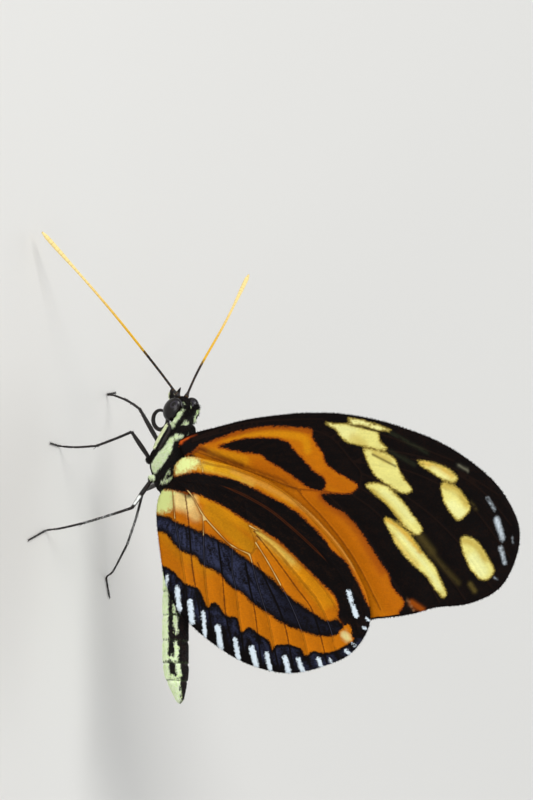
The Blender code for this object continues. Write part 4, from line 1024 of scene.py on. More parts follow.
def hindwing_material(sizes):
    """Orange ground with a gold stripe, two dark bands, white bars and pale veins, with painted
    shading of the pleats, painted shadow beside the veins, a painted bluish sheen on the dark bands
    and a painted sheen along the leading edge.
    """
    paint = Paint("hindwing scales", Specular_IOR_Level=0.05)
    cell, rise, streak, ragged = scale_grain(paint, sizes)
    blotch = ragged + (paint.noise(paint.vector("flat"), 2.2) - 0.5) * 1.6
    phase, vein, fold = paint.value("phase"), paint.value("vein"), paint.value("fold")
    # Painted shading of the pleats: lighter just above each ray, darker towards the next one.
    pleat_shading = 1.12 - phase * 0.30
    colour = paint.tinted(paint.vector("ground"), (0.78 + streak * 0.24 + cell * 0.16) * pleat_shading)
    for name, pale in (("cream", sizes.cream), ("anal", sizes.cream_dim)):
        share = paint.step(paint.value(name) + blotch, -0.55, 0.55)
        colour = paint.mix(colour, pale, share)
    fold_line = paint.fade(fold + (cell - 0.5) * 0.06, 0.03, 0.14)
    colour = paint.mix(colour, sizes.brown, fold_line * 0.85)
    # Painted shadow along the flanks of the raised veins.
    vein_flank_shadow = paint.fade(vein + (cell - 0.5) * 0.05, 0.06, 0.20)
    colour = paint.mix(colour, sizes.brown, vein_flank_shadow * 0.5)
    vein_line = paint.fade(vein, 0.01, 0.07)
    colour = paint.mix(colour, sizes.gold, vein_line * 0.45)
    lines = paint.fade(fold, 0.02, 0.22) + paint.fade(vein, 0.02, 0.22)
    brown_black = paint.mix(sizes.dark, sizes.dark_brown, paint.step(cell * 0.4 + streak, 0.6, 1.1))
    stripe = paint.value("stripe") + ragged
    colour = paint.mix(colour, sizes.rust, paint.step(stripe, -0.30, 0.0) * 0.8)
    colour = paint.mix(colour, brown_black, paint.step(stripe, -0.12, 0.14))
    deep = paint.step(paint.value("band"), 0.05, 0.8)
    # Painted bluish sheen of the black scales, in the middle of each cell of the band.
    blue = paint.step(streak + cell * 0.3, 0.35, 0.9) * deep * paint.fade(lines, 0.0, 0.9)
    blue = blue * paint.value("cool")
    band_colour = paint.mix(sizes.dark, sizes.blue_black, blue)
    band_colour = paint.mix(band_colour, sizes.slate, vein_line * 0.5)
    band = paint.value("band") + ragged
    colour = paint.mix(colour, sizes.brown, paint.step(band, -0.26, 0.0) * 0.55)
    colour = paint.mix(colour, band_colour, paint.step(band, -0.12, 0.14))
    margin = paint.value("margin")
    near = paint.step(margin, 0.15, 0.5) - paint.step(margin, 1.2, 2.4)
    # Painted bluish sheen near the inner edge of the margin.
    edge_sheen = near * paint.step(streak + cell * 0.2, 0.45, 0.9) * paint.fade(lines, 0.1, 1.0)
    edge_colour = paint.mix(sizes.dark, sizes.blue_black, edge_sheen * 0.8)
    colour = paint.mix(colour, edge_colour, paint.step(margin + ragged * 0.7, -0.12, 0.12))
    beside = paint.value("rust") + ragged * 0.06
    rust = paint.step(beside, 0.02, 0.06) * paint.fade(beside, 0.10, 0.17)
    colour = paint.mix(colour, sizes.rust, rust * 0.16)
    corner = paint.step(paint.value("corner") + ragged, -0.1, 0.1)
    colour = paint.mix(colour, paint.vector("ground"), corner)
    bar = paint.step(paint.value("bar") + (cell - 0.5) * 0.20 + (streak - 0.5) * 0.16, -0.08, 0.10)
    colour = paint.mix(colour, sizes.bluish_white, bar)
    pale_vein = paint.value("pale_vein")
    # Painted shadow along the flanks of the pale veins.
    colour = paint.mix(colour, sizes.brown, paint.fade(pale_vein, 0.10, 0.24) * 0.35)
    strength = 0.65 + paint.step(paint.value("stripe"), -2.5, -1.2) * 0.2
    colour = paint.mix(colour, sizes.cream_gold, paint.fade(pale_vein, 0.02, 0.095) * strength)
    return scale_finish(paint, colour, cell, rise, 0.06)


def abdomen_axis(x):
    """Middle height and radius of the abdomen at x."""
    xs, zs, rs = zip(*ABDOMEN_PROFILE)
    return np.interp(x, xs, zs), np.interp(x, xs, rs)


def head_axes():
    """Forward, left and up of the turned head, in body directions."""
    turn = Euler([math.radians(a) for a in HEAD_TURN], "XYZ").to_matrix()
    return [np.array(turn @ Vector(v)) for v in ((-1, 0, 0), (0, -1, 0), (0, 0, 1))]


def head_point(forward, left, up):
    """A body point given from the head's middle."""
    ahead, leftward, upward = head_axes()
    return np.array(HEAD_MIDDLE) + ahead * forward + leftward * left + upward * up


def eye_point(side, along, out, across):
    """A point by the eye of one side, in the eye's own leaning directions."""
    lean = math.radians(EYE_LEAN)
    forward, left, up = EYE_MIDDLE
    return head_point(forward + along * math.cos(lean) - across * math.sin(lean),
                      side * (left + out), up + along * math.sin(lean) + across * math.cos(lean))


def in_eye(points):
    """Along, out and across of body points about the nearer eye, as shares of its half sizes."""
    own = in_head(points)
    own[:, 1] = np.abs(own[:, 1])
    own -= EYE_MIDDLE
    lean = math.radians(EYE_LEAN)
    along = own[:, 0] * math.cos(lean) + own[:, 2] * math.sin(lean)
    across = own[:, 2] * math.cos(lean) - own[:, 0] * math.sin(lean)
    return np.column_stack([along, own[:, 1], across]) / EYE_RADII


def in_head(points):
    """Forward, left and up of body points about the head's middle."""
    return (points - np.array(HEAD_MIDDLE)) @ np.array(head_axes()).T


BODY_SPOTS = [((-4.90, 1.10, 14.58), 0.30), ((-4.90, 0.82, 14.92), 0.30),
              ((-3.2, 1.68, 14.3), 0.36), ((-3.2, 1.58, 14.75), 0.36),
              ((-3.30, 0.97, 15.42), 0.26), ((1.85, 1.35, 11.05), 0.36), ((1.1, 2.06, 13.51), 0.22)]
BODY_STRIPE = [(-2.95, 1.85, 13.7), (-1.9, 2.1, 13.4), (-1.0, 2.3, 12.8),
               (0.0, 2.2, 12.0), (0.75, 1.8, 11.35)]
REAR_STRIPES = [[(1.76, 1.77, 13.87), (2.13, 1.77, 13.13), (2.31, 1.67, 12.38)],
                [(0.73, 2.14, 13.69), (1.82, 1.9, 12.92)]]
HEAD_SPOTS = [((-0.02, 0.50, 1.30), 0.30), ((0.25, 0.40, 1.3), 0.16), ((-0.15, 0.66, 1.2), 0.17),
              ((0.60, 0.64, 1.05), 0.11)]
HEAD_RIMS = {1: [(-0.26, 1.70, 1.75), (-0.85, 2.0, 1.25), (-1.42, 2.1, 0.77), (-1.8, 2.0, 0.2)],
             -1: [(-0.25, -0.95, 1.50), (-0.82, -1.10, 1.48), (-1.27, -1.05, 1.06)]}
# Pale marks of the abdomen's side: from and to as (along the body, rise from -1 to 1), half width.
ABDOMEN_MARKS = [
    ((4.6, 0.42), (6.2, 0.46), 0.22), ((7.2, 0.42), (9.0, 0.46), 0.24),
    ((9.9, 0.42), (12.0, 0.46), 0.26), ((12.9, 0.38), (15.0, 0.44), 0.26),
    ((16.0, 0.36), (18.0, 0.34), 0.20), ((18.7, 0.36), (19.6, 0.44), 0.28),
    ((19.7, 0.44), (20.4, 0.48), 0.22), ((21.6, 0.34), (22.3, 0.46), 0.20),
    ((22.4, 0.48), (23.4, 0.44), 0.24), ((24.2, 0.52), (25.4, 0.58), 0.30),
    ((23.5, 0.10), (23.75, 0.30), 0.34), ((25.75, -0.2), (25.8, 0.45), 0.14)]
ABDOMEN_BELLY, ABDOMEN_TAIL = -0.14, 25.9
# Half widths of the body stripe and of the head's left rim, as (at, width), and of the others.
STRIPE_WIDTHS = ((-3, -1, 0.2, 0.9), (0.30, 0.68, 0.82, 0.62))
RIM_WIDTHS, FAR_RIM_WIDTH = ((0.0, 1.2, 1.7), (0.44, 0.24, 0.10)), 0.29
REAR_STRIPE_WIDTHS = (0.24, 0.10)


def body_cream(points):
    """Depth inside the pale marks of thorax, abdomen and head, positive inside them."""
    x, y, z = points.T
    mirrored = np.column_stack([x, np.abs(y), z])
    marks = [half - np.linalg.norm(mirrored - spot, axis=1) for spot, half in BODY_SPOTS]
    marks.append(np.interp(x, *STRIPE_WIDTHS) - line_distance(mirrored, BODY_STRIPE))
    for half, stripe in zip(REAR_STRIPE_WIDTHS, REAR_STRIPES):
        marks.append(half - line_distance(mirrored, stripe))
    own = in_head(points)
    marks.append(np.interp(own[:, 2], *RIM_WIDTHS) - line_distance(own, HEAD_RIMS[1]))
    marks.append(FAR_RIM_WIDTH - line_distance(own, HEAD_RIMS[-1]))
    own[:, 1] = np.abs(own[:, 1])
    for spot, half in HEAD_SPOTS:
        marks.append(half - np.linalg.norm(own - spot, axis=1))
    height, radius = abdomen_axis(x)
    rise = np.clip((z - height) / radius, -1, 1)
    side = np.column_stack([x, np.arcsin(rise) * 1.6])
    lateral = [half - line_distance(side, [(a[0], math.asin(a[1]) * 1.6),
                                           (b[0], math.asin(b[1]) * 1.6)])
               for a, b, half in ABDOMEN_MARKS]
    belly = radius * (ABDOMEN_BELLY - rise)
    tail = np.minimum(x - ABDOMEN_TAIL, (0.62 - rise) * radius)
    abdomen = np.max([*lateral, belly, tail], axis=0)
    marks.append(np.where(x > ABDOMEN_START, abdomen, -2.0))
    return np.max(marks, axis=0)


def skin_mesh(sizes):
    """Head, thorax, abdomen and leg roots as one closed surface, in body millimetres."""
    inset = sizes.coat_depth
    bm = bmesh.new()

    def put(points, faces):
        verts = [bm.verts.new(p) for p in points]
        for face in faces:
            bm.faces.new([verts[i] for i in face])

    thorax = spline(THORAX_STATIONS, 0.25)
    put(*lofted([(x, z, wide - inset, high - inset) for x, z, wide, high in thorax]))
    rings = []
    for x, z, radius in spline(ABDOMEN_PROFILE, 0.15):
        behind = [x - joint for joint in ABDOMEN_JOINTS if joint <= x]
        ring = RING_DEPTH * math.exp(-min(behind) / RING_WIDTH) if behind else 0.0
        rings.append((x, z, radius - inset - ring, radius - inset - ring))
    put(*lofted(rings))
    skull = spline(HEAD_STATIONS, 0.15)
    points, faces = lofted([(x, 0.0, wide - inset / 2, high - inset / 2)
                            for x, wide, high in skull])
    put([head_point(x, -y, z) for x, y, z in points], faces)
    for side in (1, -1):
        sunk = FAR_CHEEK_INSET if side < 0 else 0.0
        for along, out, across, half_out, half_across in CHEEKS:
            ball = bmesh.ops.create_icosphere(bm, subdivisions=3, radius=1.0)
            for vert in ball["verts"]:
                x, y, z = vert.co
                vert.co = eye_point(side, along + x * CHEEK_HALF_LENGTH,
                                    out - sunk + y * half_out, across + z * half_across)
    clasper = spline(CLASPER, 0.1)
    points, faces, _ = tube(clasper, np.linspace(0.24, 0.10, len(clasper)), 12)
    put(points, faces)
    for path in LEGS.values():
        ball = bmesh.ops.create_icosphere(bm, subdivisions=3, radius=COXA_RADIUS)
        bmesh.ops.translate(bm, verts=ball["verts"], vec=path[0])
    bmesh.ops.recalc_face_normals(bm, faces=bm.faces)
    mesh = bpy.data.meshes.new("skin rough")
    bm.to_mesh(mesh)
    bm.free()
    rough = bpy.data.objects.new("skin rough", mesh)
    bpy.context.scene.collection.objects.link(rough)
    remesh = rough.modifiers.new("fuse", "REMESH")
    remesh.mode = "VOXEL"
    remesh.voxel_size = sizes.skin_pitch
    soften = rough.modifiers.new("soften", "SMOOTH")
    soften.factor, soften.iterations = 0.5, 4
    graph = bpy.context.evaluated_depsgraph_get()
    fused = bpy.data.meshes.new_from_object(rough.evaluated_get(graph))
    bpy.data.objects.remove(rough)
    return fused


def bake_place(points):
    """Where a body point lies on the unwrap: along the body, and round it."""
    x, y, z = points.T
    xs, zs = zip(*[(s[0], s[1]) for s in THORAX_STATIONS])
    middle = np.where(x < ABDOMEN_START, np.interp(x, xs, zs), abdomen_axis(x)[0])
    round_it = np.arctan2(z - middle, y) / (2 * math.pi) + 0.5
    return np.column_stack([(x + 9.5) / 39.5, round_it * 0.98 + 0.01])


def skin_fields(points):
    """Values that the skin and its tufts share."""
    x = points[:, 0]
    height, radius = abdomen_axis(x)
    rise = np.where(x > RING_START, (points[:, 2] - height) / radius, 0.0)
    behind = smooth_step((x - COAT_SEAM) / 0.5)
    joints = np.min([np.abs(x - joint) for joint in ABDOMEN_JOINTS], axis=0)
    return {"cream": body_cream(points), "back": rise * behind, "behind": behind,
            "joint": np.where(x > RING_START, joints, 1.0)}


def body_material(name, sizes, tufted):
    """Black body scales with cream marks. The skin has relief, and the tufts are their own."""
    paint = Paint(name, Specular_IOR_Level=0.2)
    where = paint.place()
    grain = paint.cells(where, 6.0)
    broad = paint.noise(where, 1.6)
    mottled = 0.45 + paint.value("behind") * 0.55
    ragged = ((grain - 0.5) * 0.22 + (broad - 0.5) * 0.30) * mottled
    dark = paint.mix(sizes.black, sizes.dark_brown, paint.step(grain + broad, 0.8, 1.5))
    back = paint.step(paint.value("back") + ragged, 0.45, 0.75)
    dark = paint.mix(dark, sizes.back_brown, back * paint.step(broad, 0.35, 0.7) * 0.6)
    cream = paint.step(paint.value("cream") + ragged, -0.08, 0.10)
    pale = paint.mix(sizes.cream, sizes.cream_deep, paint.step(grain + broad * 0.6, 0.7, 1.4))
    colour = paint.mix(dark, pale, cream)
    joint = paint.fade(paint.value("joint"), 0.05, 0.16)
    colour = paint.mix(colour, sizes.joint, joint * paint.value("behind") * 0.85)
    paint.set(Base_Color=colour, Roughness=0.55 + grain * 0.25)
    if not tufted:
        rise = paint.cell_rise(where, 7.0)
        paint.bump(0.06 - rise * 0.10 + broad * 0.05, 0.8, 1.0)
    return paint.material


# Shares of length, width and lift that a tuft may have, its scatter, bend and depth of root.
TUFT_LENGTHS, TUFT_WIDTHS, TUFT_LIFTS = (0.75, 1.2), (0.8, 1.2), (0.6, 1.5)
TUFT_SCATTER, TUFT_BEND, TUFT_ROOT = 0.12, 0.08, 0.02
# Where each point of a tuft lies on its spot of the bake map.
TUFT_CORNERS = np.array([(0, 0), (1, 0), (0.5, 0.3), (0, 0.6), (1, 0.6), (0.5, 0.7), (0.5, 1)])


def tufts_object(name, roots, outs, lie_at, length_at, sizes, slot, material, rng):
    """Many thin tufts as one mesh, coloured as the skin at their roots."""
    fields = skin_fields(roots)
    patches = bake_place(roots)
    count = len(roots)
    points, faces = [], []
    for i in range(count):
        length = length_at(roots[i]) * rng.uniform(*TUFT_LENGTHS)
        half = sizes.tuft_half * rng.uniform(*TUFT_WIDTHS)
        lie = lie_at(roots[i]) + rng.normal(0, TUFT_SCATTER, 3)
        lift = sizes.tuft_lift * rng.uniform(*TUFT_LIFTS)
        points.append(spike(roots[i] - outs[i] * TUFT_ROOT, lie, outs[i], length, half, lift,
                            rng.normal(0, TUFT_BEND)))
        faces += [tuple(k + len(TUFT_CORNERS) * i for k in face) for face in SPIKE_FACES]
    builder = Builder()
    corners = len(TUFT_CORNERS)
    spots = (np.repeat(patches, corners, axis=0)
             + np.tile(TUFT_CORNERS * SPOT - SPOT / 2, (count, 1)))
    values = {key: np.repeat(value, corners) for key, value in fields.items()}
    builder.add(np.vstack(points), faces, spots, **values)
    return builder.finish(name, material, slot)


def eye_piece(side, material):
    """A many-faceted eye, flatter towards the head."""
    half_forward, half_out, half_up = EYE_RADII
    points = []
    for i in range(EYE_RINGS + 1):
        polar = math.pi * i / EYE_RINGS
        for j in range(EYE_AROUND):
            turn = 2 * math.pi * j / EYE_AROUND
            points.append(eye_point(side, half_forward * math.sin(polar) * math.cos(turn),
                                    half_out * math.cos(polar),
                                    half_up * math.sin(polar) * math.sin(turn)))
    # The two eyes mirror each other, so their faces run round in opposite ways.
    faces = [(a, d, c, b) if side < 0 else (b, c, d, a)
             for a, b, c, d in ring_faces(EYE_RINGS + 1, EYE_AROUND)]
    points = np.array(points)
    builder = Builder()
    builder.add(points, faces, own=in_eye(points))
    name = "eye_left" if side > 0 else "eye_right"
    return builder.finish(f"{name}_faceted", material, "eye", [name])


def eye_material(sizes):
    """Dark facets with painted pseudopupils: one black spot ringed by a painted grey sheen, and
    smaller black spots about it.
    """
    paint = Paint("eye", Specular_IOR_Level=0.25, Coat_Weight=0.15, Coat_Roughness=0.08)
    own = paint.vector("own")
    facets = paint.cell_rise(paint.scaled(own, 26.0), 1.0)
    forward = paint.add("ShaderNodeSeparateXYZ", None, {0: own}, "X")
    up = paint.add("ShaderNodeSeparateXYZ", None, {0: own}, "Z")
    main_spot, first_spot, second_spot = [(forward - a) ** 2.0 + (up - b) ** 2.0
                                          for a, b in EYE_SPOTS]
    # Painted sheen ring about the main pseudopupil, and painted dark pseudopupil spots.
    glow = paint.step(main_spot, 0.02, 0.05) - paint.step(main_spot, 0.05, 0.16)
    small = paint.fade(first_spot, 0.004, 0.03) + paint.fade(second_spot, 0.004, 0.03)
    cloud = paint.noise(own, 2.6)
    colour = paint.mix(sizes.eye, sizes.eye_dark, paint.step(cloud, 0.35, 0.75))
    colour = paint.mix(colour, sizes.eye_rim, glow * 0.5)
    colour = paint.mix(colour, sizes.black, paint.fade(main_spot, 0.01, 0.03) * 0.9)
    colour = paint.mix(colour, sizes.black, paint.step(small, 0.0, 1.0) * 0.7)
    paint.set(Base_Color=colour, Roughness=0.14 + facets * 0.10)
    paint.bump(0.02 - facets * 0.02, 0.35, 1.0)
    return paint.material


def antenna_piece(name, side, sizes, material):
    """A ringed feeler that thickens slowly to a club."""
    path = spline([head_point(ANTENNA_ROOT[0], side * ANTENNA_ROOT[1], ANTENNA_ROOT[2]),
                   *ANTENNAE[name]], 0.09)
    share = np.linspace(0, 1, len(path))
    club = 1 + CLUB_SWELL * smooth_step((share - CLUB_START) / CLUB_SPAN)
    tip = 1 - TIP_LOSS * smooth_step((share - TIP_START) / TIP_SPAN)
    root = 1 + ROOT_SWELL * np.exp(-((share - ROOT_PLACE) / ROOT_HALF) ** 2)
    ring = np.abs(np.sin(share * math.pi * sizes.antenna_rings))
    radii = sizes.antenna_radius * club * tip * root * (0.93 + 0.07 * ring)
    points, faces, along = tube(path, radii, 12)
    builder = Builder()
    builder.add(points, faces, along=along, ring=np.interp(along, share, ring))
    return builder.finish(f"{name}_ringed", material, "antenna", [name])


def antenna_material(sizes):
    """Dark at the base, then gold and paler to the tip, with a line at each joint."""
    paint = Paint("antenna", Specular_IOR_Level=0.3)
    ring = paint.value("ring")
    grain = paint.noise(paint.place(), 4.0)
    along = paint.value("along") + (grain - 0.5) * 0.10
    colour = paint.mix(sizes.antenna_base, sizes.antenna_gold, paint.step(along, 0.25, 0.31))
    colour = paint.mix(colour, sizes.antenna_tip, paint.step(along, 0.36, 0.85))
    colour = paint.mix(colour, sizes.antenna_joint, paint.fade(ring, 0.0, 0.35) * 0.55)
    paint.set(Base_Color=colour, Roughness=0.34 + grain * 0.25)
    paint.bump(ring * 0.02 + grain * 0.02, 0.6, 1.0)
    return paint.material


def chitin_material(name, dark, pale, sizes, strength=1.0):
    """Shiny cuticle with short scales, dark but pale where the value called pale is up."""
    paint = Paint(name, Specular_IOR_Level=0.3)
    where = paint.place()
    grain = paint.cells(where, 7.0)
    broad = paint.noise(where, 1.8)
    colour = paint.mix(dark, sizes.dark_brown, paint.step(grain + broad * 0.5, 0.7, 1.4) * 0.7)
    share = paint.step(paint.value("pale") + (grain - 0.5) * 0.35, 0.35, 0.6) * strength
    full = paint.step(paint.value("pale"), 0.75, 0.95) * (1 - strength)
    colour = paint.mix(colour, pale, share + full)
    paint.set(Base_Color=colour, Roughness=0.30 + grain * 0.3)
    paint.bump(0.04 - paint.cell_rise(where, 9.0) * 0.08, 0.7, 1.0)
    return paint.material


def hair_places(path, rng, count):
    """Step along the path, turn about it, and the way out of it, at random for each hair."""
    _, across, up = frames_along(path)
    for _ in range(count):
        i, angle = rng.integers(1, len(path) - 2), rng.uniform(0, 2 * math.pi)
        yield i, angle, math.cos(angle) * across[i] + math.sin(angle) * up[i]


def palp_piece(side, sizes, material):
    """An upturned hairy palp beside the tongue."""
    root = head_point(PALP_ROOT[0], side * PALP_ROOT[1], PALP_ROOT[2])
    tip = head_point(PALP_TIP[0], side * PALP_TIP[1], PALP_TIP[2])
    bend = (root + tip) / 2 - head_axes()[2] * PALP_SAG
    path = spline([root, bend, tip], 0.05)
    share = np.linspace(0, 1, len(path))
    radii = PALP_RADIUS * (1 - share ** 1.5) + 0.02
    builder = Builder()
    add_limb(builder, path, radii, PALP_SIDES)
    rng = np.random.default_rng(41 if side < 0 else 42)
    tangent = frames_along(path)[0]
    for i, angle, out in hair_places(path, rng, sizes.palp_hairs):
        root_at = path[i] + out * radii[i] * 0.9
        pale = 1.0 if math.sin(angle) < -0.4 and share[i] < 0.55 else 0.0
        reach = rng.uniform(0.8, 1.2) * (0.55 - 0.33 * share[i])
        hair = spike(root_at, tangent[i] - out * 0.25 * share[i], out, reach, HAIR_HALF,
                     0.40 - 0.38 * share[i])
        builder.add(hair, SPIKE_FACES, pale=pale)
    name = "palp_left" if side > 0 else "palp_right"
    return builder.finish(f"{name}_haired", material, "palp", [name])


def proboscis_piece(sizes, material):
    """The tongue, rolled into one open ring with its tip tucked inside."""
    forward, _, up = PROBOSCIS_RING
    path = [head_point(*PROBOSCIS_MOUTH)]
    for i in range(COIL_POINTS):
        angle = math.radians(COIL_START + COIL_STEP * i)
        path.append(head_point(forward + PROBOSCIS_RING_RADIUS * math.cos(angle), 0.0,
                               up + PROBOSCIS_RING_RADIUS * math.sin(angle)))
    path = spline(path, 0.05)
    share = np.linspace(0, 1, len(path))
    radii = np.interp(share, TONGUE_SHARES, TONGUE_RADII)
    radii = radii * (0.96 + 0.04 * np.abs(np.sin(np.arange(len(path)) * 0.8)))
    builder = Builder()
    add_limb(builder, path, radii, TONGUE_SIDES)
    return builder.finish("proboscis_rolled", material, "proboscis", ["proboscis"])


def add_limb(builder, path, radii, sides, pale=0.0):
    """A tube with one level of pale scales, or with levels spread evenly along it."""
    points, faces, along = tube(path, radii, sides)
    level = np.full(len(points), pale) if isinstance(pale, float) else np.interp(
        along, np.linspace(0, 1, len(pale)), pale)
    builder.add(points, faces, pale=level)


def add_spines(builder, path, radius, count, length, pale, seed):
    """Short stiff spines that point down the limb."""
    rng = np.random.default_rng(seed)
    tangent, across, up = frames_along(path)
    for i in range(count):
        k = int((i + 0.5) / count * (len(path) - 2)) + 1
        angle = rng.uniform(0, 2 * math.pi)
        out = math.cos(angle) * across[k] + math.sin(angle) * up[k]
        root = path[k] + out * radius * 0.8
        hair = spike(root, tangent[k], out, length * rng.uniform(0.7, 1.2), SPINE_HALF,
                     0.7 * rng.uniform(0.5, 1.3))
        hair[:, 2] = np.maximum(hair[:, 2], SPINE_FLOOR)
        builder.add(hair, SPIKE_FACES, pale=pale)


def add_thigh(builder, thigh, hind, left):
    """A thigh, thickest in its middle. The hind one has a white patch near the knee."""
    share = np.linspace(0, 1, THIGH_POINTS)
    swell = THIGH_RADIUS + THIGH_SWELL * np.sin(math.pi * np.clip(share * 1.1, 0, 1))
    points, faces, along = tube(thigh, swell, THIGH_SIDES)
    out = points - (thigh[0] + np.outer(along, thigh[-1] - thigh[0]))
    facing = out @ (np.array(THIGH_PATCH) * (1, 1 if left else -1, 1))
    facing = facing / np.maximum(np.linalg.norm(out, axis=1), 1e-6)
    first, last = THIGH_PATCH_SPAN
    patch = smooth_step((facing - 0.55) / 0.25) * smooth_step((along - first) / 0.06) * (
        1 - smooth_step((along - last) / 0.05))
    builder.add(points, faces, pale=patch * (1.0 if hind else 0.0))


def add_foot(builder, foot, speckle):
    """A foot of five joints, narrower where they meet, and its two claws."""
    share = np.linspace(0, 1, len(foot))
    to_joint = np.min([np.abs(share - joint) for joint in FOOT_JOINTS], axis=0)
    radii = np.interp(share, (0, 1), FOOT_RADII) * (0.82 + 0.24 * smooth_step(to_joint / 0.03))
    add_limb(builder, foot, radii, FOOT_SIDES, speckle[::-1] * 0.7)
    aim = foot[-1] - foot[-4]
    aim = aim / np.linalg.norm(aim)
    across = np.cross(aim, (0, 0, 1.0))
    for side in (-1, 1):
        claw = spline([foot[-1] + aim * a + across * side * b + (0, 0, c)
                       for a, b, c in CLAW_STEPS], 0.03)
        add_limb(builder, claw, np.linspace(*CLAW_RADII, len(claw)), CLAW_SIDES)


def leg_object(name, sizes, material):
    """Thigh, shin, foot, spines and spurs of one walking leg."""
    coxa, knee, ankle, toe_top, touch, tip = [np.array(p, float) for p in LEGS[name]]
    builder = Builder()
    hind = name.startswith("hind")
    speckle = np.array(SHIN_SPECKLE) * (1.0 if hind else OTHER_SPECKLE)
    thigh = np.linspace(coxa, knee, THIGH_POINTS)
    add_thigh(builder, thigh, hind, name.endswith("left"))
    shin = spline([knee, (knee + ankle) / 2 + SHIN_BOW, ankle], 0.12)
    radii = np.interp(np.linspace(0, 1, len(shin)), SHIN_SHARES, SHIN_RADII)
    add_limb(builder, shin, radii, SHIN_SIDES, speckle)
    foot = spline([ankle, toe_top, touch, tip], 0.06)
    foot[:, 2] = np.maximum(foot[:, 2], FOOT_HEIGHT)
    add_foot(builder, foot, speckle)
    seed = 60 + sorted(LEGS).index(name)
    pale_spine = PALE_SPINE if hind else 0.0
    add_spines(builder, shin, 0.15, sizes.leg_spines, 0.30, pale_spine, seed)
    add_spines(builder, foot, 0.11, sizes.leg_spines, 0.20, pale_spine, seed + 10)
    add_spines(builder, thigh, 0.27, sizes.leg_spines, 0.28, 0.0, seed + 20)
    for side in (-1, 1):
        spur = spline([ankle + (ankle - knee) * a + (b * side, c, d)
                       for a, b, c, d in SPUR_STEPS], 0.06)
        add_limb(builder, spur, np.linspace(*SPUR_RADII, len(spur)), CLAW_SIDES, pale_spine)
    kind, side_name = name.rsplit("_", 1)
    nodes = [f"{kind}_{side_name}_{part}" for part in ("femur", "tibia", "tarsus")]
    return builder.finish(f"{name}_jointed", material, "leg", nodes)


def foreleg_object(name, sizes, material):
    """A small folded foreleg, furred, pale outside with a dark inner stripe."""
    side = FORELEGS[name]
    path = spline(np.array(FORELEG_PATH) * (1, side, 1), 0.08)
    share = np.linspace(0, 1, len(path))
    narrowing = 1 - 0.35 * smooth_step((share - 0.6) / 0.4)
    radii = FORELEG_RADIUS * narrowing * smooth_step(share / 0.08 + 0.4)
    points, faces, along = tube(path, radii, FORELEG_SIDES)
    middle = np.stack([np.interp(along, share, path[:, k]) for k in range(3)], axis=1)

    def paleness(off):
        """How pale a point is that lies this far off the limb's middle."""
        outward = off @ (np.array(FORELEG_OUTWARD) * (1, side, 1))
        return np.clip(0.5 + (outward - 0.02) * 6, 0, 1)

    builder = Builder()
    builder.add(points, faces, pale=paleness(points - middle))
    thigh = path + np.array(FORELEG_THIGH) * (1, -side, 1) * smooth_step(share / 0.3)[:, None]
    add_limb(builder, thigh, radii * 1.25, FORELEG_SIDES)
    rng = np.random.default_rng(71 if side < 0 else 72)
    tangent = frames_along(path)[0]
    for i, _, out in hair_places(path, rng, sizes.foreleg_hairs):
        hair = spike(path[i] + out * radii[i] * 0.85, tangent[i], out, rng.uniform(0.3, 0.5),
                     HAIR_HALF, 0.3)
        builder.add(hair, SPIKE_FACES, pale=paleness(out * FORELEG_RADIUS))
    return builder.finish(f"{name}_furred", material, "foreleg", [name])


def tint(name, description, code):
    """A colour that can be changed."""
    return FloatVectorProperty(name=name, description=description, subtype="COLOR",
                               default=srgb(code), min=0, max=1)


def size(name, description, default, low, high):
    """A length in millimetres, or a share, that can be changed."""
    return FloatProperty(name=name, description=description, default=default, min=low, max=high)


def tally(name, description, default, low):
    """A number of pieces that can be changed."""
    return IntProperty(name=name, description=description, default=default, min=low)


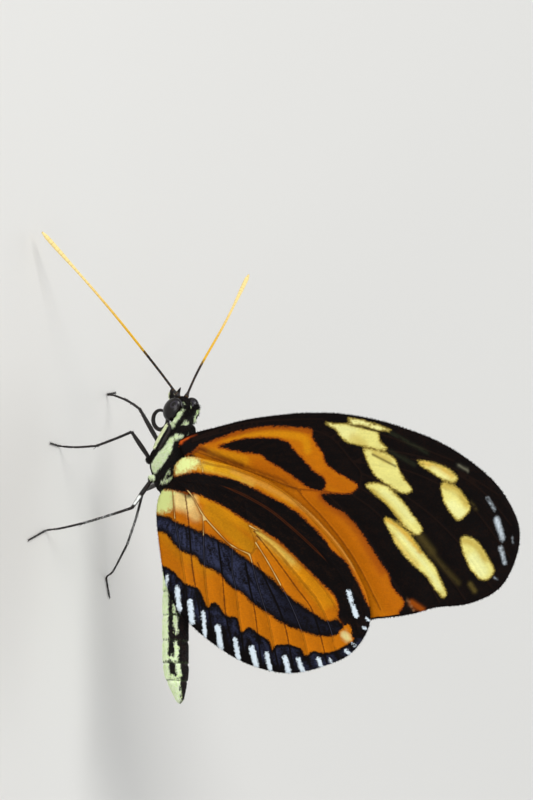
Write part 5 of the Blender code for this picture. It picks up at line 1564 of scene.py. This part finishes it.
class WingSizes(bpy.types.PropertyGroup):
    pitch: size("Mesh pitch", "Spacing of the wing's points, in mm", 0.34, 0.15, 1.0)
    membrane: size("Membrane", "Thickness of the membrane, in mm", 0.12, 0.03, 0.4)
    pleat: size("Pleat", "Rise of the veins over the folds, in mm", 0.13, 0.0, 0.4)
    fringe: size("Fringe", "Length of the margin's hairs, in mm", 0.22, 0.0, 1.0)
    fringe_gap: size("Fringe gap", "Spacing of those hairs, in mm", 0.06, 0.02, 1.0)
    scale_width: size("Scale width", "Width of one scale, in mm", 0.13, 0.03, 1.0)
    scale_length: size("Scale length", "Length of one scale, in mm", 0.20, 0.03, 1.0)
    orange: tint("Orange", "Ground colour", "B06303")
    orange_deep: tint("Deep orange", "Darker ground", "A55602")
    gold: tint("Gold", "Ground along the cell", "C07D08")
    dark: tint("Black", "Darkest scales", "060303")
    dark_brown: tint("Dark brown", "Brown among the black", "180C07")
    brown: tint("Brown", "Vein lines on orange", "542503")
    # Colour of the painted bluish sheen on the black scales.
    blue_black: tint("Blue black", "Bands of the hindwing", "2B2F46")
    yellow: tint("Yellow", "Spots of the forewing", "D5CD79")
    yellow_deep: tint("Deep yellow", "Shade of the spots", "B59B42")
    cream: tint("Cream", "Pale wing roots", "D3DC90")
    cream_dim: tint("Dim cream", "Pale inner corner", "C2CA80")
    gold_bright: tint("Bright gold", "Root of the gold stripe", "D2A21A")
    bluish_white: tint("Bluish white", "Marks of the margin", "C7D2DA")
    rust: tint("Rust", "Edges of the dark marks", "8A4005")
    ochre: tint("Ochre", "Dull ground of the cell", "AE7307")
    straw_white: tint("Straw white", "Middle of the pale spots", "DDDC98")
    amber: tint("Amber", "Warm edge of a pale spot", "C7A040")
    straw: tint("Straw", "Palest streak of the ground", "C6A94C")
    # Colour of the painted sheen along the hindwing's leading edge.
    peach: tint("Peach", "Streak of the leading edge", "C28A3A")
    mauve: tint("Mauve", "Leading edge near the root", "986841")
    cream_gold: tint("Cream gold", "Pale veins", "D8BF7B")
    olive: tint("Olive", "Lines and smears on yellow", "50441E")
    # Colour of the painted sheen streaks on the forewing's dark tip.
    green: tint("Green", "Dim spot of the margin", "3C4630")
    grey: tint("Grey", "Dim dash of the leading edge", "6F6D5B")
    ember: tint("Ember", "Root of the leading edge", "B64A12")
    slate: tint("Slate", "Veins across the blue band", "424456")


class BodySizes(bpy.types.PropertyGroup):
    skin_pitch: size("Skin pitch", "Voxel of the skin", 0.10, 0.05, 0.5)
    coat_depth: size("Coat depth", "How deep the skin lies, in mm", 0.12, 0.0, 0.4)
    tuft_half: size("Tuft width", "Half width of one tuft, in mm", 0.045, 0.01, 0.2)
    tuft_lift: size("Tuft lift", "Rise of a tuft over its length", 0.22, 0.0, 1.0)
    thorax_tufts: tally("Thorax tufts", "Number of tufts", 15000, 0)
    abdomen_tufts: tally("Abdomen tufts", "Number of tufts", 16000, 0)
    head_tufts: tally("Head tufts", "Number of tufts", 7000, 0)
    black: tint("Black", "Ground of the body", "080504")
    dark_brown: tint("Dark brown", "Brown among the black", "1A100C")
    back_brown: tint("Back", "Top of the abdomen", "241410")
    cream: tint("Cream", "Pale marks", "F4FFDA")
    cream_deep: tint("Deep cream", "Shade of the pale marks", "E2F8B4")
    joint: tint("Ring line", "Line between two rings", "3C4A2C")
    eye: tint("Eye", "Colour of the eye", "110A08")
    eye_dark: tint("Eye shade", "Darker eye", "070405")
    # Colour of the painted sheen ring about the eye's dark spot.
    eye_rim: tint("Eye glow", "Ring about the dark spot", "3C3842")


class LimbSizes(bpy.types.PropertyGroup):
    antenna_radius: size("Feeler radius", "Thin part, in mm", 0.155, 0.05, 0.4)
    antenna_rings: tally("Feeler rings", "Joints of one feeler", 44, 5)
    palp_hairs: tally("Palp hairs", "Hairs of one palp", 420, 0)
    foreleg_hairs: tally("Foreleg hairs", "Hairs of one foreleg", 700, 0)
    leg_spines: tally("Leg spines", "Spines of one limb", 46, 0)
    black: tint("Black", "Dark cuticle", "100A09")
    dark_brown: tint("Dark brown", "Worn cuticle", "2C1A12")
    cream: tint("Cream", "Pale scales", "EEF5C4")
    leg_pale: tint("Leg scales", "Pale speckles of the legs", "E8EAE6")
    antenna_base: tint("Feeler base", "Dark base", "150D08")
    antenna_gold: tint("Feeler", "Middle", "DCA91A")
    antenna_tip: tint("Feeler tip", "Tip", "EDD48C")
    antenna_joint: tint("Feeler joints", "Lines between rings", "8A5A14")


class StageSizes(bpy.types.PropertyGroup):
    floor: tint("Floor", "Colour of the floor", "D9D7D2")
    floor_size: FloatProperty(name="Floor size", description="Side of the floor",
                              default=12.0, min=1.0, subtype="DISTANCE", unit="LENGTH")
    key: FloatProperty(name="Key light", description="Power of the main light",
                       default=2.9, min=0.0, subtype="POWER", unit="POWER")
    fill: FloatProperty(name="Fill light", description="Power of the side light",
                        default=1.25, min=0.0, subtype="POWER", unit="POWER")
    sky: FloatProperty(name="Sky", description="Strength of the even light", default=0.64,
                       min=0.0)


class LONGWING_OT_wings(bpy.types.Operator):
    """Makes the four scaled wings"""
    bl_idname = "longwing.wings"
    bl_label = "Wings"

    def execute(self, context):
        sizes = context.scene.longwing_wings
        finishes = {"forewing": forewing_material(sizes), "hindwing": hindwing_material(sizes)}
        for kind, finish in finishes.items():
            for side in (-1, 1):
                wing_piece(kind, side, sizes, finish)
        return {"FINISHED"}


class LONGWING_OT_body(bpy.types.Operator):
    """Makes the skin of head, thorax and abdomen, and its coat"""
    bl_idname = "longwing.body"
    bl_label = "Body and coat"

    def execute(self, context):
        sizes = context.scene.longwing_body
        mesh = skin_mesh(sizes)
        count = len(mesh.vertices)
        points, normals = np.zeros(count * 3), np.zeros(count * 3)
        mesh.vertices.foreach_get("co", points)
        mesh.vertices.foreach_get("normal", normals)
        points, normals = points.reshape(-1, 3), normals.reshape(-1, 3)
        faces = [tuple(face.vertices) for face in mesh.polygons]
        builder = Builder()
        builder.add(points, faces, **skin_fields(points))
        builder.finish("skin", body_material("body skin", sizes, False), "thorax",
                       ["head", "thorax", "abdomen"])
        bpy.data.meshes.remove(mesh)
        coat = body_material("body coat", sizes, True)
        self.coat(points, normals, sizes, coat)
        return {"FINISHED"}

    def coat(self, points, normals, sizes, material):
        """Tufts on thorax, abdomen and head."""
        on_head = in_head(points)[:, 0] > -1.3
        at_eye = in_eye(points)
        on_eye = (at_eye[:, 0] ** 2 + at_eye[:, 2] ** 2 < 0.8) & (at_eye[:, 1] > -0.9)
        zones = {
            "thorax_coat": (~on_head & (points[:, 0] < COAT_SEAM), sizes.thorax_tufts, 21,
                            lambda p: np.array([1.0, 0.0, -0.35]),
                            lambda p: 0.62 if p[2] > 12 else 0.45, "thorax"),
            "abdomen_coat": (points[:, 0] >= COAT_SEAM, sizes.abdomen_tufts, 22,
                             lambda p: np.array([1.0, 0.0, 0.0]),
                             lambda p: 0.36 + 0.35 * math.exp(-(p[0] - COAT_SEAM) / 1.5),
                             "abdomen"),
            "head_coat": (on_head & ~on_eye, sizes.head_tufts, 23,
                          lambda p: -head_axes()[0] * 0.6 + head_axes()[2] * 0.7,
                          lambda p: 0.38, "head"),
        }
        for name, (zone, count, seed, lie_at, length_at, slot) in zones.items():
            rng = np.random.default_rng(seed)
            pool = np.flatnonzero(zone)
            chosen = rng.choice(pool, min(count, len(pool)), replace=False)
            tufts_object(name, points[chosen], normals[chosen], lie_at, length_at, sizes, slot,
                         material, rng)


class LONGWING_OT_head(bpy.types.Operator):
    """Makes the eyes, feelers, palps and tongue"""
    bl_idname = "longwing.head"
    bl_label = "Eyes, feelers and mouth"

    def execute(self, context):
        body, limbs = context.scene.longwing_body, context.scene.longwing_limbs
        eye = eye_material(body)
        feeler = antenna_material(limbs)
        haired = chitin_material("palp hair", limbs.black, limbs.cream, limbs)
        tongue = chitin_material("tongue", limbs.black, limbs.dark_brown, limbs)
        for side in (1, -1):
            eye_piece(side, eye)
            palp_piece(side, limbs, haired)
        antenna_piece("antenna_left", 1, limbs, feeler)
        antenna_piece("antenna_right", -1, limbs, feeler)
        proboscis_piece(limbs, tongue)
        return {"FINISHED"}


class LONGWING_OT_legs(bpy.types.Operator):
    """Makes the walking legs and the folded forelegs"""
    bl_idname = "longwing.legs"
    bl_label = "Legs"

    def execute(self, context):
        sizes = context.scene.longwing_limbs
        speckled = chitin_material("leg cuticle", sizes.black, sizes.leg_pale, sizes,
                                   SPECKLE_STRENGTH)
        furred = chitin_material("foreleg fur", sizes.black, sizes.cream, sizes)
        for name in LEGS:
            leg_object(name, sizes, speckled)
        for name in FORELEGS:
            foreleg_object(name, sizes, furred)
        return {"FINISHED"}


class LONGWING_OT_stage(bpy.types.Operator):
    """Lays the floor and sets the lights and the camera"""
    bl_idname = "longwing.stage"
    bl_label = "Stage"

    def execute(self, context):
        scene, sizes = context.scene, context.scene.longwing_stage
        self.camera(scene)
        self.floor(scene, sizes)
        self.lights(scene, sizes)
        scene.view_settings.view_transform = "Standard"
        return {"FINISHED"}

    def camera(self, scene):
        """Looks at the butterfly as the photo does."""
        right, up, toward = view_axes()
        camera = bpy.data.cameras.new("camera")
        camera.sensor_fit = "VERTICAL"
        camera.sensor_height = SENSOR
        camera.lens = SENSOR * PIXELS_PER_MM * VIEW_DISTANCE / PICTURE[1]
        camera.clip_start = 0.01
        eye = bpy.data.objects.new("camera", camera)
        scene.collection.objects.link(eye)
        shift = ((VIEW_POINT_PIXEL[0] - PICTURE[0] / 2) * right
                 - (VIEW_POINT_PIXEL[1] - PICTURE[1] / 2) * up) / PIXELS_PER_MM
        looks_at = (VIEW_POINT - shift + BODY_ZERO) * MM
        turn = Matrix((right, up, toward)).transposed()
        stands_at = looks_at + toward * VIEW_DISTANCE * MM
        eye.matrix_world = Matrix.Translation(stands_at) @ turn.to_4x4()
        scene.camera = eye

    def floor(self, scene, sizes):
        """A pale sheet that the butterfly stands on."""
        sheet = bpy.data.meshes.new("floor")
        half = sizes.floor_size / 2
        sheet.from_pydata([(-half, -half, 0), (half, -half, 0), (half, half, 0),
                           (-half, half, 0)], [], [(0, 1, 2, 3)])
        floor = bpy.data.objects.new("floor", sheet)
        paint = Paint("floor paper", Roughness=0.8)
        tone = paint.noise(paint.add("ShaderNodeTexCoord", output="Object"), 3.0)
        paint.set(Base_Color=paint.mix(sizes.floor, tuple(c * 0.97 for c in sizes.floor), tone))
        sheet.materials.append(paint.material)
        scene.collection.objects.link(floor)

    def lights(self, scene, sizes):
        """Three soft lamps and an even sky."""
        for name, spot, width, power, share in LIGHTS:
            lamp = bpy.data.lights.new(name, "AREA")
            lamp.size, lamp.energy = width, getattr(sizes, power) * share
            holder = bpy.data.objects.new(name, lamp)
            holder.location = spot
            holder.rotation_euler = (Vector(spot) - LIGHT_AIM).to_track_quat("Z", "Y").to_euler()
            scene.collection.objects.link(holder)
        world = bpy.data.worlds.new("studio")
        world.use_nodes = True
        sky = world.node_tree.nodes["Background"]
        sky.inputs["Color"].default_value = SKY_TINT
        sky.inputs["Strength"].default_value = sizes.sky
        scene.world = world


def view_axes():
    """The picture's right and up, and the way back to the camera, in body axes."""
    rise, behind = math.radians(VIEW_RISE), math.radians(VIEW_FROM_BEHIND)
    toward = Vector((math.sin(behind) * math.cos(rise), -math.cos(behind) * math.cos(rise),
                     math.sin(rise)))
    right = Vector((0, 0, 1)) - toward * toward.z
    right.normalize()
    return right, toward.cross(right), toward


class LONGWING_PT_panel(bpy.types.Panel):
    """Lists the pieces of the butterfly"""
    bl_idname = "LONGWING_PT_panel"
    bl_label = "Longwing"
    bl_space_type = "VIEW_3D"
    bl_region_type = "UI"
    bl_category = "Longwing"

    def draw(self, context):
        for operator in OPERATORS:
            self.layout.operator(operator.bl_idname)


OPERATORS = (LONGWING_OT_wings, LONGWING_OT_body, LONGWING_OT_head, LONGWING_OT_legs,
             LONGWING_OT_stage)
SIZES = {"longwing_wings": WingSizes, "longwing_body": BodySizes, "longwing_limbs": LimbSizes,
         "longwing_stage": StageSizes}


def register():
    for group in SIZES.values():
        bpy.utils.register_class(group)
    for operator in OPERATORS:
        bpy.utils.register_class(operator)
    bpy.utils.register_class(LONGWING_PT_panel)
    for name, group in SIZES.items():
        setattr(bpy.types.Scene, name, PointerProperty(type=group))


def unregister():
    for name in SIZES:
        delattr(bpy.types.Scene, name)
    bpy.utils.unregister_class(LONGWING_PT_panel)
    for operator in reversed(OPERATORS):
        bpy.utils.unregister_class(operator)
    for group in SIZES.values():
        bpy.utils.unregister_class(group)


def main():
    register()
    bpy.ops.longwing.wings()
    bpy.ops.longwing.body()
    bpy.ops.longwing.head()
    bpy.ops.longwing.legs()
    bpy.ops.longwing.stage()


if __name__ == "__main__":
    main()
